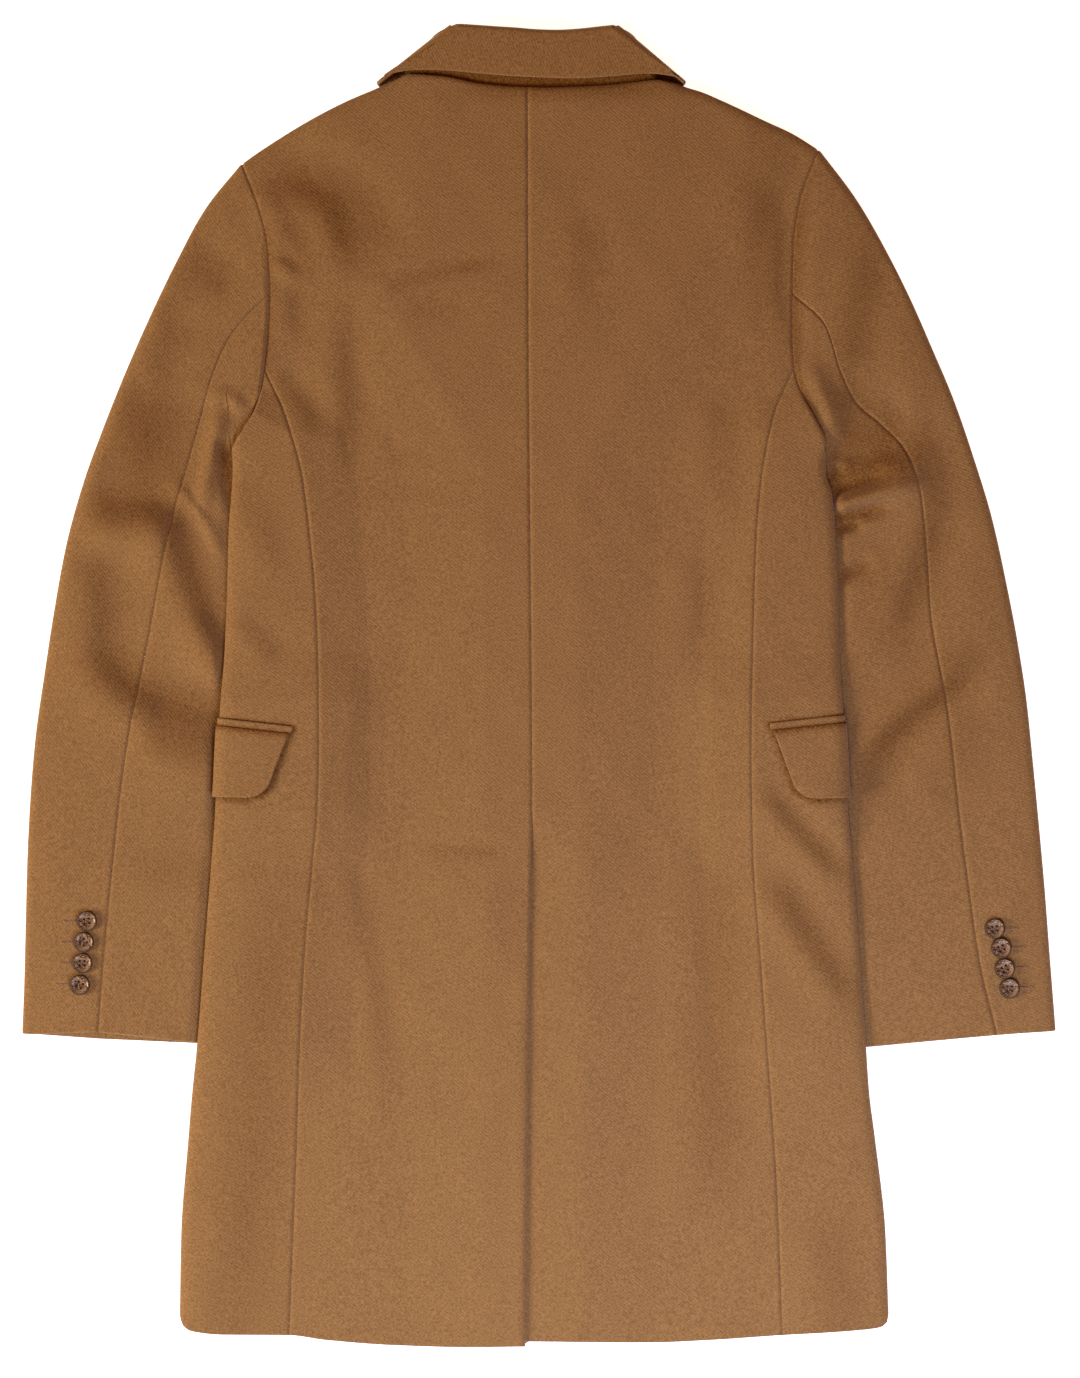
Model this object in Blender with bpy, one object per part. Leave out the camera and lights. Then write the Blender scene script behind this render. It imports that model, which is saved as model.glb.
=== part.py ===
"""A single-breasted wool overcoat that lies flat on its front, back up.

All lengths in the tables are millimetres. "x" runs to the right of the coat's middle as it
lies, "down" runs from the back neck seam towards the hem, and "up" is the height over the
surface it lies on. Left and right are the wearer's, which are also the viewer's.

The body is a flat tube: the back and the tops of the sides lie on the fronts and the
undersides of the sides. The sleeves are flat tubes too, and their inner edges lie under the
body's sides, which rise over them.
"""

from collections import namedtuple

import bmesh
import bpy
import numpy as np

MM = 0.001
LEFT, RIGHT = -1, 1
SIDES = {LEFT: "left", RIGHT: "right"}
TOP, UNDER = 1, -1

# Cloth
WALL = 2.6              # coating with its interlining
COLLAR_WALL = 2.8
JET_WALL = 1.4
SEAM_GAP = 0.5          # between two pieces sewn edge to edge
LAYER_GAP = 0.4         # between two pieces that lie on each other

# How high the layers lie
FLAT_HEIGHT = 8.6       # of a flat tube of cloth, outside to outside
TUCKED_HEIGHT = 5.5     # of a sleeve's inner edge, pressed under the body
SIDE_LIFT = 5.9         # of the body's sides, over the sleeves
FLAP_LIFT = 3.3         # more, over the pocket flaps
STRIP_LIFT = 3.6        # of the buttoned middle and the lapels, over buttons and lapels
OVERLAP_LIFT = 3.0      # of the right front, over the left front
VENT_DROP = 3.3         # of the right back, under the left back
ROLL_WIDTH = 8.0        # of the turn at the outline of a flat tube
TUCKED_ROLL_WIDTH = 3.2  # of the turn at a sleeve's pressed inner edge
SHOULDER_ROLL_WIDTH = 7.5

# Levels down the body
MIDDLE = -6.5           # x of the buttoned front's middle
CENTRE_X, NECK_Y = 0.8, 460.22    # where x 0 and the back neck seam lie, in the coat's box
LAPEL_LEVEL, BREAK_LEVEL = 60.0, 300.0
CUFF_LEVEL, SKIRT_FLAT_LEVEL = 738.0, 810.0
VENT_LEVEL, VENT_SEAM_END = 600.0, 555.0
LAST_BUTTON_LEVEL, FRONT_FLAT_LEVEL = 555.0, 600.0
HEM_CURVE_LEVEL = 810.0
LEVELS = (245, 295, 340, 390, 435, 470, 510, 555, 600, 660, 738, 775, 810, 885, 960)
FRONT_OVERLAP = 22.0    # of each front past the middle
FRONT_RAMP = 40.0       # over which a front comes down from the side to the surface
FLAP_REACH = 100.0      # of a pocket flap round the side, on the underside

# Columns across a panel, as shares of its width
FRONT_SHARES = (0, 0.12, 0.24, 0.42, 0.62, 0.8, 0.9, 1)
NECK_SHARES = (0, 0.3, 0.65)      # of the back, up to the neck point
LAP_SHARES = (-0.2, -0.1)         # of the vent's underlap, past the centre

# Stations down the armhole seam, from the shoulder point to the underarm
Station = namedtuple("Station", "left_x left_down right_x right_down")
ARMHOLE = (
    Station(-229.8, 57.8, 214.8, 47.0),
    Station(-229.0, 60.0, 213.9, 49.2),
    Station(-227.0, 65.3, 211.8, 54.6),
    Station(-217.3, 90.0, 200.0, 88.0),
    Station(-209.8, 122.0, 195.3, 120.0),
    Station(-207.9, 158.0, 194.3, 158.0),
    Station(-209.4, 188.0, 194.0, 190.0),
    Station(-212.4, 216.5, 195.6, 216.0),
    Station(-215.6, 236.4, 201.0, 234.0),
    Station(-220.7, 250.5, 211.5, 254.5),
    Station(-227.5, 261.0, 219.6, 272.4),
    Station(-231.0, 265.8, 220.0, 278.0),
    Station(-232.5, 267.5, 220.1, 280.3),
)
HINDARM, SIDE_SEAM, FOREARM, UNDERARM = 5, 7, 8, 12

# Sections across the body: its side edges, its side-back seams and the centre back seam
Level = namedtuple("Level", "down edge_left seam_left centre seam_right edge_right")
BODY = (
    Level(0, -238.5, -212.4, -9.6, 195.6, 219.5),
    Level(216, -238.5, -212.4, -8.9, 195.6, 219.5),
    Level(245, -238.5, -198.7, -8.6, 182.1, 219.5),
    Level(295, -236.6, -183.6, -8.1, 171.3, 220.0),
    Level(340, -239.7, -177.5, -7.7, 166.9, 227.2),
    Level(390, -241.0, -172.9, -7.2, 164.9, 229.5),
    Level(435, -242.9, -170.9, -6.8, 163.8, 230.5),
    Level(470, -245.6, -170.2, -6.5, 162.9, 232.5),
    Level(510, -248.3, -170.2, -6.3, 162.5, 234.9),
    Level(555, -249.9, -171.2, -6.2, 163.0, 236.8),
    Level(600, -253.3, -175.3, -7.3, 164.4, 241.0),
    Level(660, -258.0, -180.7, -8.2, 169.0, 245.6),
    Level(738, -264.1, -185.0, -9.2, 174.8, 251.0),
    Level(775, -268.0, -186.3, -9.6, 177.6, 253.7),
    Level(810, -271.0, -187.3, -10.0, 180.2, 258.3),
    Level(885, -276.4, -190.2, -10.8, 184.0, 266.2),
    Level(960, -277.6, -193.3, -11.6, 186.5, 268.7),
)

# The top of the body, from shoulder point to shoulder point along the neck seam
TopPoint = namedtuple("TopPoint", "x down")
TOP_LINE = (
    TopPoint(-229.8, 57.8), TopPoint(-215.6, 47.7), TopPoint(-178.0, 24.6),
    TopPoint(-148.0, 9.2), TopPoint(-127.0, 0.3), TopPoint(-113.0, -6.0),
    TopPoint(-100.0, -10.3), TopPoint(-77.0, -8.9), TopPoint(-46.0, -3.0),
    TopPoint(-15.0, -0.4), TopPoint(8.0, 0.0), TopPoint(46.0, -1.5),
    TopPoint(77.0, -4.6), TopPoint(92.0, -6.0), TopPoint(103.0, -4.6),
    TopPoint(113.0, -0.9), TopPoint(124.0, 2.4), TopPoint(140.0, 9.2),
    TopPoint(173.0, 24.6), TopPoint(195.0, 34.7), TopPoint(214.8, 47.0),
)
NECK_HALF_WIDTH, SHOULDER_START = 97.0, 112.0

# The hem: the left half ends at the vent a little lower than the right one
LEFT_HEM = (
    TopPoint(-277.6, 946.0), TopPoint(-275.5, 953.0), TopPoint(-268.0, 957.5),
    TopPoint(-245.0, 960.0), TopPoint(-192.5, 960.5), TopPoint(-166.0, 964.0),
    TopPoint(-114.0, 968.0), TopPoint(-61.0, 969.4), TopPoint(-8.0, 968.8),
)
RIGHT_HEM = (
    TopPoint(-60.0, 965.0), TopPoint(15.0, 965.3), TopPoint(85.0, 966.0),
    TopPoint(132.0, 964.0), TopPoint(187.0, 960.3), TopPoint(248.7, 956.4),
    TopPoint(262.0, 954.5), TopPoint(267.5, 951.0), TopPoint(268.7, 945.0),
)

# A front's free edge: the neckline, the lapel's roll line, then the buttoned edge.
# "out" is the distance from the coat's middle on the front's own side.
EdgePoint = namedtuple("EdgePoint", "down out")
FRONT_EDGE = (
    EdgePoint(-8, 99.0), EdgePoint(6, 82.5), EdgePoint(18, 72.5), EdgePoint(32, 63.5),
    EdgePoint(130, 33.5), EdgePoint(250, -1.5), EdgePoint(297, -14.5),
    EdgePoint(330, -FRONT_OVERLAP), EdgePoint(1000, -FRONT_OVERLAP),
)

# Sections down the sleeves: outer fold, hindarm seam and inner fold
SleeveRow = namedtuple("SleeveRow", "outer_x outer_down hind_x hind_down inner_x inner_down")
SLEEVE = {
    LEFT: (
        SleeveRow(-229.8, 57.8, -207.9, 158.0, -232.5, 267.5),
        SleeveRow(-258.0, 93.2, -223.3, 172.5, -233.5, 281.0),
        SleeveRow(-280.3, 134.0, -240.2, 194.0, -234.0, 300.0),
        SleeveRow(-300.3, 175.6, -252.6, 222.5, -231.0, 322.0),
        SleeveRow(-319.6, 219.5, -262.6, 258.7, -222.0, 348.0),
        SleeveRow(-338.0, 265.7, -272.6, 294.1, -203.0, 378.8),
        SleeveRow(-351.1, 301.8, -283.4, 331.1, -195.0, 409.6),
        SleeveRow(-365.0, 351.9, -292.6, 375.0, -192.5, 448.1),
        SleeveRow(-374.2, 401.9, -300.3, 417.3, -198.7, 482.8),
        SleeveRow(-381.9, 452.0, -308.8, 458.9, -205.6, 517.4),
        SleeveRow(-388.9, 502.0, -317.2, 502.0, -212.5, 552.1),
        SleeveRow(-392.7, 548.2, -323.4, 546.0, -219.5, 586.7),
        SleeveRow(-395.0, 594.4, -328.4, 592.1, -227.2, 625.2),
        SleeveRow(-396.2, 640.6, -333.0, 639.1, -235.6, 663.7),
        SleeveRow(-397.3, 686.8, -337.3, 686.8, -244.1, 702.2),
        SleeveRow(-398.9, 726.1, -340.3, 726.9, -251.8, 736.9),
    ),
    RIGHT: (
        SleeveRow(214.8, 47.0, 194.3, 158.0, 220.1, 280.3),
        SleeveRow(244.1, 86.2, 219.5, 182.5, 219.8, 292.0),
        SleeveRow(266.4, 124.7, 231.0, 217.1, 218.5, 309.0),
        SleeveRow(285.7, 163.2, 242.6, 241.0, 213.0, 334.0),
        SleeveRow(302.6, 201.7, 263.3, 259.5, 200.0, 360.4),
        SleeveRow(318.8, 240.2, 281.1, 278.7, 188.0, 390.4),
        SleeveRow(334.2, 284.9, 293.4, 315.7, 180.0, 422.0),
        SleeveRow(348.0, 330.3, 298.0, 363.4, 179.4, 455.8),
        SleeveRow(358.8, 378.8, 301.1, 405.8, 184.8, 488.2),
        SleeveRow(368.1, 427.4, 307.2, 442.8, 191.7, 521.3),
        SleeveRow(375.0, 472.8, 314.2, 480.5, 199.4, 554.4),
        SleeveRow(379.6, 517.4, 318.8, 521.3, 207.1, 588.3),
        SleeveRow(384.2, 565.2, 323.4, 563.6, 215.6, 622.9),
        SleeveRow(388.9, 617.5, 330.3, 616.0, 224.1, 660.7),
        SleeveRow(392.7, 667.6, 338.0, 669.9, 232.5, 700.7),
        SleeveRow(397.3, 726.1, 351.9, 729.2, 240.2, 740.0),
    ),
}
LAST_ROW = 15
# Rows over which a sleeve's sections straighten from the armhole: fewer at its inner fold
ARMHOLE_REACH, INNER_REACH = 4.5, 1.0
CUFF_DIP = {LEFT: 5.5, RIGHT: 0.5}    # of the cuff's under layer past its top layer

# The largest folds of the top layer: a soft trough (below 0) or ridge along each line
Fold = namedtuple("Fold", "x0 down0 x1 down1 half_width height")
SLEEVE_FOLDS = (
    Fold(-345, 385, -318, 462, 16, -2.2),     # left elbow, outer part
    Fold(-318, 462, -248, 484, 16, -2.2),     # left elbow, inner part
    Fold(-288, 330, -243, 432, 15, -2.2),     # left upper arm, slanting to the side
    Fold(-310, 380, -262, 425, 18, 1.8),
    Fold(-262, 300, -246, 262, 14, 2.0),      # left armpit
    Fold(254, 525, 325, 462, 15, -2.2),       # right elbow
    Fold(236, 498, 300, 440, 16, 1.6),
    Fold(236, 322, 285, 300, 12, -2.2),       # right armpit
    Fold(300, 300, 296, 370, 17, -1.8),       # right upper arm
)
BODY_FOLDS = (
    Fold(-195, 76, -150, 128, 20, -2.0),      # left shoulder blade
    Fold(197, 574, 239, 622, 13, -1.8),       # right hip
)


def smooth(knots, values, at):
    """Reads a smooth curve through the table's rows, which never swings past them."""
    knots, values = np.asarray(knots, float), np.asarray(values, float)
    steps = np.diff(values) / np.diff(knots)
    both = steps[:-1] * steps[1:]
    total = np.where(both > 0, steps[:-1] + steps[1:], 1)
    slopes = np.r_[steps[0], np.where(both > 0, 2 * both / total, 0), steps[-1]]
    at = np.clip(at, knots[0], knots[-1])
    low = np.clip(np.searchsorted(knots, at, side="right") - 1, 0, len(knots) - 2)
    span = knots[low + 1] - knots[low]
    t = (at - knots[low]) / span
    rise = values[low + 1] - values[low]
    bend = t * (1 - t)
    return (values[low] + t * rise
            + bend * ((1 - t) * (slopes[low] * span - rise) - t * (slopes[low + 1] * span - rise)))


def column(table, name):
    return [getattr(row, name) for row in table]


def ramp(value, start, end):
    """0 before start, 1 after end, straight between."""
    return np.clip((value - start) / (end - start), 0, 1)


def blend(low, high, share):
    return low + (high - low) * share


def body_line(name, down):
    return smooth(column(BODY, "down"), column(BODY, name), down)


def side_edge(side, down):
    return body_line("edge_" + SIDES[side], down)


def side_seam(side, down):
    return body_line("seam_" + SIDES[side], down)


def top_line(x):
    return smooth(column(TOP_LINE, "x"), column(TOP_LINE, "down"), x)


def hem_line(side, x):
    table = LEFT_HEM if side == LEFT else RIGHT_HEM
    return smooth(column(table, "x"), column(table, "down"), x)


def front_edge(side, down):
    return MIDDLE + side * smooth(column(FRONT_EDGE, "down"), column(FRONT_EDGE, "out"), down)


def armhole(side, station):
    """(x, down) on the armhole seam, read by distance along it."""
    name = SIDES[side]
    xs, downs = column(ARMHOLE, name + "_x"), column(ARMHOLE, name + "_down")
    lengths = np.cumsum(np.r_[0, np.hypot(np.diff(xs), np.diff(downs))])
    at = np.interp(station, np.arange(len(xs)), lengths)
    return smooth(lengths, xs, at), smooth(lengths, downs, at)


def fold_height(folds, x, down):
    ridge = trough = np.zeros(np.broadcast(x, down).shape)
    for fold in folds:
        run, drop = fold.x1 - fold.x0, fold.down1 - fold.down0
        length = np.hypot(run, drop)
        along = ((x - fold.x0) * run + (down - fold.down0) * drop) / length
        aside = ((x - fold.x0) * drop - (down - fold.down0) * run) / length
        beyond = np.maximum(np.maximum(-along, along - length), 0)
        height = fold.height * np.exp(-(aside**2 + beyond**2) / fold.half_width**2)
        ridge, trough = np.maximum(ridge, height), np.minimum(trough, height)
    return ridge + trough


def strip_zone(x, down):
    """1 over the buttoned middle and the lapels, falling to 0 beside them."""
    half = np.interp(down, [LAPEL_LEVEL, BREAK_LEVEL], [165, 36])
    fade = np.interp(down, [LAPEL_LEVEL, BREAK_LEVEL], [40, 60])
    return 1 - ramp(np.abs(x - MIDDLE), half, half + fade)


def side_zone(side, x, down):
    """1 where the body's side lies over the sleeve, falling to 0 across the front."""
    seam, edge = np.abs(side_seam(side, down)), np.abs(side_edge(side, down))
    reach = side * x
    share = ramp(reach, seam, edge)
    start = ramp(down + 28 * share, 236, 266)
    stop = 1 - ramp(down, CUFF_LEVEL, SKIRT_FLAT_LEVEL)
    return start * stop * (1 - ramp(seam - reach, 0, FRONT_RAMP))


def flap_zone(side, x, down):
    """1 over the pocket flap and round it, falling to 0 further off."""
    inset = np.abs(side_edge(side, down)) - side * x
    return (ramp(down, 435, 470) * (1 - ramp(down, 555, 600))
            * (1 - ramp(inset, FLAP_REACH, FLAP_REACH + 30)))


def side_lift(side, x, down):
    return SIDE_LIFT * side_zone(side, x, down) + FLAP_LIFT * flap_zone(side, x, down)


def body_height(side, layer, x, down):
    """Height of the body's outer face, before its outline turns in."""
    strip = STRIP_LIFT * strip_zone(x, down)
    if layer == TOP:
        lift = np.maximum(strip * 1.1, side_lift(side, x, down))
        return lift + FLAT_HEIGHT + fold_height(BODY_FOLDS, x, down)
    strip = strip * (1 - ramp(down, LAST_BUTTON_LEVEL, FRONT_FLAT_LEVEL))
    return np.maximum(strip, side_lift(side, x, down))


def turned(side, x, down, angle):
    """Heights of the body near its outline, where the cloth turns from the top (angle 90)
    over the outline (0) to the underside (-90)."""
    over, under = body_height(side, TOP, x, down), body_height(side, UNDER, x, down)
    half = (over - under) / 2
    return under + half + half * np.sin(np.radians(angle))


def place(x, down, up):
    """Millimetres on the coat to metres in the world."""
    x, down, up = np.broadcast_arrays(x, down, up)
    return np.stack([(x + CENTRE_X) * MM, (NECK_Y - down) * MM, up * MM], axis=-1)


def wall(points, out_x, out_down, angle, thickness):
    """The cloth's other face: each point moved in, against the way its outer face looks."""
    flat, steep = np.cos(np.radians(angle)), np.sin(np.radians(angle))
    return points - place_vector(out_x * flat, out_down * flat, steep) * thickness


def place_vector(x, down, up):
    x, down, up = np.broadcast_arrays(x, down, up)
    return np.stack([x, -down, up], axis=-1) * MM


def pulled_in(grid, edges, gap=SEAM_GAP):
    """Moves the rows and columns that end at a seam in, square to the seam, by half the gap
    between two pieces."""
    grid = grid.copy()
    pairs = {"first_row": (np.s_[0], np.s_[1]), "last_row": (np.s_[-1], np.s_[-2]),
             "first_column": (np.s_[:, 0], np.s_[:, 1]), "last_column": (np.s_[:, -1], np.s_[:, -2])}
    for edge in edges:
        at, beside = pairs[edge]
        step = grid[beside] - grid[at]
        seam = np.gradient(grid[at], axis=0)
        seam /= np.linalg.norm(seam, axis=-1, keepdims=True)
        step -= seam * (step * seam).sum(axis=-1, keepdims=True)
        step /= np.linalg.norm(step, axis=-1, keepdims=True)
        grid[at] = grid[at] + step * gap * MM / 2
    return grid


def material(name, colour, roughness):
    made = bpy.data.materials.new(name)
    made.use_nodes = True
    shader = made.node_tree.nodes["Principled BSDF"]
    shader.inputs["Base Color"].default_value = (*colour, 1)
    shader.inputs["Roughness"].default_value = roughness
    shader.inputs["Metallic"].default_value = 0
    return made


def new_object(name, mesh, finish):
    mesh.materials.clear()
    mesh.materials.append(finish)
    made = bpy.data.objects.new(name, mesh)
    bpy.context.collection.objects.link(made)
    return made


def flatness(points, cells):
    """How nearly the two triangles of each cell, split from its first corner, face one way."""
    a, b, c, d = (points[cells[:, i]] for i in range(4))
    first, second = np.cross(b - a, c - a), np.cross(c - a, d - a)
    sizes = np.linalg.norm(first, axis=1) * np.linalg.norm(second, axis=1)
    return (first * second).sum(axis=1) / np.maximum(sizes, 1e-18)


def cloth(name, outer, inner, finish, present=None):
    """One closed wall between two grids of points, with a strip round all its open edges.
    Where present is given, only its true cells are made."""
    rows, columns = outer.shape[:2]
    index = np.arange(rows * columns).reshape(rows, columns)
    cells = np.stack([index[:-1, :-1], index[1:, :-1], index[1:, 1:], index[:-1, 1:]], axis=-1)
    cells = cells.reshape(-1, 4) if present is None else cells[present]
    # Each cell is split along the diagonal that leaves it flatter.
    flat = outer.reshape(-1, 3)
    turned_cells = np.roll(cells, 1, axis=1)
    cells = np.where((flatness(flat, turned_cells) > flatness(flat, cells) + 1e-3)[:, None],
                     turned_cells, cells)
    faces = np.concatenate([cells[:, [0, 1, 2]], cells[:, [0, 2, 3]]])
    other = rows * columns
    edges = np.concatenate([faces[:, [0, 1]], faces[:, [1, 2]], faces[:, [2, 0]]])
    known = {tuple(edge) for edge in edges.tolist()}
    rim = np.array(sorted((a, b) for a, b in known if (b, a) not in known))
    rim = np.concatenate([np.stack([rim[:, 1], rim[:, 0], rim[:, 0] + other], axis=1),
                          np.stack([rim[:, 1], rim[:, 0] + other, rim[:, 1] + other], axis=1)])
    faces = np.concatenate([faces, faces[:, ::-1] + other, rim])

    mesh = bpy.data.meshes.new(name)
    mesh.from_pydata(np.concatenate([flat, inner.reshape(-1, 3)]).tolist(), [], faces.tolist())
    shape = bmesh.new()
    shape.from_mesh(mesh)
    bmesh.ops.delete(shape, geom=[v for v in shape.verts if not v.link_faces], context="VERTS")
    if shape.calc_volume(signed=True) < 0:
        bmesh.ops.reverse_faces(shape, faces=shape.faces[:])
    shape.to_mesh(mesh)
    shape.free()
    mesh.shade_smooth()
    mesh.set_sharp_from_angle(angle=np.radians(50))
    return new_object(name, mesh, finish)


# ---------------------------------------------------------------- the body's panels


def outer_rows(side):
    """Level of each row at a panel's outer edge: the armhole's stations, then the levels."""
    stations = armhole(side, np.arange(SIDE_SEAM + 1))[1]
    return np.concatenate([stations, LEVELS])


def row_levels(side, tops, rows):
    """Levels of every row and column: bent like the top line above, straight in the middle
    and bent like the hem at the end."""
    share = ramp(rows, rows[0], LEVELS[1])[:, None]
    return rows[:, None] + (tops - rows[0])[None, :] * (1 - share)


def bend_to_hem(side, x, down):
    share = ramp(down, HEM_CURVE_LEVEL, LEVELS[-1])
    return down + (hem_line(side, x) - LEVELS[-1]) * share


def top_angles(rows, x):
    """The turn at the shoulder line: 0, 45 and 90 degrees, and none along the neck."""
    angles = np.clip(np.arange(len(rows)) * 45, 0, 90)[:, None]
    shoulder = ramp(np.abs(x[0] - MIDDLE), NECK_HALF_WIDTH, SHOULDER_START)[None, :]
    return 90 - (90 - angles) * shoulder


def shoulder_normal(side):
    """Which way the shoulder line faces, in x and down."""
    return side * 0.45, -0.89


def upper_panel(side, layer, inner_line, shares, lower=None):
    """Outer and inner grids of a back or a front: rows from the shoulder to the hem, columns
    from the centre or the front edge (share 0) to the armhole and side seam (share 1)."""
    rows = outer_rows(side)
    outer_x = np.concatenate([armhole(side, np.arange(SIDE_SEAM + 1))[0], side_seam(side, LEVELS)])
    start = inner_line(top_line(MIDDLE))
    tops = top_line(blend(start, outer_x[0], shares))
    tops = top_line(blend(inner_line(tops[0]), outer_x[0], shares))
    down = row_levels(side, tops, rows)
    x = blend(inner_line(down[:, :1]), outer_x[:, None], shares[None, :])
    down = bend_to_hem(side, x, down)
    angle = top_angles(rows, x)
    up = turned(side, x, down, layer * angle)
    if lower is not None:
        up = up - lower(x, down)
    outer = place(x, down, up)
    inner = wall(outer, *shoulder_normal(side), layer * angle, WALL)
    seams = ["first_row", "last_column"]
    return x, down, pulled_in(outer, seams), pulled_in(inner, seams)


def vent_drop(x, down):
    """How far the right back lies below the left one beside the vent."""
    aside = x - body_line("centre", down)
    return VENT_DROP * ramp(down, VENT_SEAM_END, VENT_LEVEL) * (1 - ramp(aside, 1, 24))


def back_shares(side):
    """Columns across a back: some up to the neck point, then those of the front, so that
    the two meet along the shoulder."""
    centre, shoulder = body_line("centre", 0), armhole(side, 0)[0]
    neck = front_edge(side, top_line(MIDDLE + side * NECK_HALF_WIDTH))
    neck_share = (neck - centre) / (shoulder - centre)
    return np.r_[neck_share * np.array(NECK_SHARES), blend(neck_share, 1, np.array(FRONT_SHARES))]


def make_back(side, finish):
    def centre(down):
        return body_line("centre", down)

    if side == LEFT:
        x, down, outer, inner = upper_panel(side, TOP, centre, back_shares(side))
        outer, inner = (pulled_in(grid, ["first_column"]) for grid in (outer, inner))
        return cloth("back_left", outer, inner, finish)
    # The underlap is cut in one with the right back and lies under the left one.
    laps = np.array(LAP_SHARES)
    shares = np.r_[laps, back_shares(side)]
    x, down, outer, inner = upper_panel(side, TOP, centre, shares, vent_drop)
    for grid in (outer, inner):
        grid[:, len(laps):] = pulled_in(grid[:, len(laps):], ["first_column"])
    present = np.ones((outer.shape[0] - 1, outer.shape[1] - 1), bool)
    first_lap_row = SIDE_SEAM + 1 + LEVELS.index(int(VENT_LEVEL))
    present[:first_lap_row, :len(laps)] = False
    return cloth("back_right", outer, inner, finish, present)


def overlap_raise(x, down):
    """How far the right front rises to lie over the left one, as a fall (below 0)."""
    return -OVERLAP_LIFT * ramp(down, 170, 225) * (1 - ramp(x - MIDDLE, 38, 66))


def make_front(side, finish):
    def edge(down):
        return front_edge(side, down)

    lower = overlap_raise if side == RIGHT else None
    x, down, outer, inner = upper_panel(side, UNDER, edge, np.array(FRONT_SHARES), lower)
    return cloth("front_" + SIDES[side], outer, inner, finish)


def make_side(side, finish):
    """Rows from the underarm to the hem, columns from the side-back seam over the side's
    turn and back along the underside to the front seam, which lies under the other."""
    stations = np.array([7, 8, 9, 10, 11, 12])
    angles = np.array([90, 90, 90, 90, 45, 0])
    tops_x, tops = armhole(side, stations)
    rows = np.concatenate([[tops[0]], LEVELS])
    share = ramp(rows, rows[0], LEVELS[1])[:, None]
    down = rows[:, None] + (tops - tops[0])[None, :] * (1 - share)
    edge, seam = side_edge(side, down), side_seam(side, down)
    turn = ROLL_WIDTH * (1 - np.cos(np.radians(angles)))
    turn_start = edge - side * ROLL_WIDTH
    between = blend(seam, turn_start, np.array([0, 1, 2, 3, 3, 3]) / 3)
    x = np.where(angles < 90, edge - side * turn, between)
    x[0] = tops_x
    down = bend_to_hem(side, x, down)
    x, down = (np.concatenate([grid, grid[:, -2::-1]], axis=1) for grid in (x, down))
    angles = np.concatenate([angles, -angles[-2::-1]])[None, :]
    outer = place(x, down, turned(side, x, down, angles))
    inner = wall(outer, side, 0, angles, WALL)
    seams = ["first_row", "first_column", "last_column"]
    outer, inner = (pulled_in(grid, seams) for grid in (outer, inner))
    return cloth("side_" + SIDES[side], outer, inner, finish)


def make_lapel(side, finish):
    """The turned front, flat under the front from the gorge down to the break."""
    lengths = np.array([0, 0.25, 0.5, 0.75, 0.96])
    if side == RIGHT:
        lengths = lengths * 0.8   # the rest lies between the two fronts
    widths = np.linspace(0, 1, 5)[None, :]
    down0 = blend(34, 294, lengths)[:, None]
    roll = np.abs(front_edge(side, down0) - MIDDLE) * np.sign(side * (front_edge(side, down0) - MIDDLE))
    reach = np.array([93, 78, 53, 27, 4])[:, None] * np.cos(np.radians(18))
    if side == RIGHT:
        reach = np.array([93, 82, 62, 38, 14])[:, None] * np.cos(np.radians(18))
    x = MIDDLE + side * (roll + 1.0 + reach * widths)
    down = down0 + 34 * widths * (1 - lengths[:, None]) + 6 * np.sin(np.pi * widths)
    outer = place(x, down, 0)
    inner = place(x, down, WALL)
    return cloth("lapel_" + SIDES[side], outer, inner, finish)


# ---------------------------------------------------------------- the sleeves


def sleeve_line(side, name, row):
    table = SLEEVE[side]
    rows = np.arange(len(table))
    return np.array([smooth(rows, column(table, name + "_x"), row),
                     smooth(rows, column(table, name + "_down"), row)])


def fold_facing(side, name, row, way):
    """Which way a sleeve's fold faces: square to it, outward (way 1) or to the body (-1)."""
    at = np.clip(row, 0.5, LAST_ROW - 0.5)
    run, drop = sleeve_line(side, name, at + 0.5) - sleeve_line(side, name, at - 0.5)
    facing = np.array([side * way * drop, -side * way * run]) / np.hypot(run, drop)
    if name == "outer":
        facing = blend(np.array(shoulder_normal(side)), facing, ramp(row, 0, 1))
    return facing / np.hypot(*facing)


def edge_crossing(side, start, end, share):
    """Share of the way from the hindarm seam to the inner fold at which the sleeve goes
    under the body's side."""
    steps = np.linspace(0, 1, 101)
    x = blend(start[0], end[0], steps)
    down = blend(start[1], end[1], steps)
    below_armhole = down > armhole(side, UNDERARM)[1] + 2
    inside = (side * (side_edge(side, down) - x) > -1.5) & below_armhole
    crossing = steps[np.argmax(inside)] if inside.any() else 1.0
    return min(crossing, share)


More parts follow.
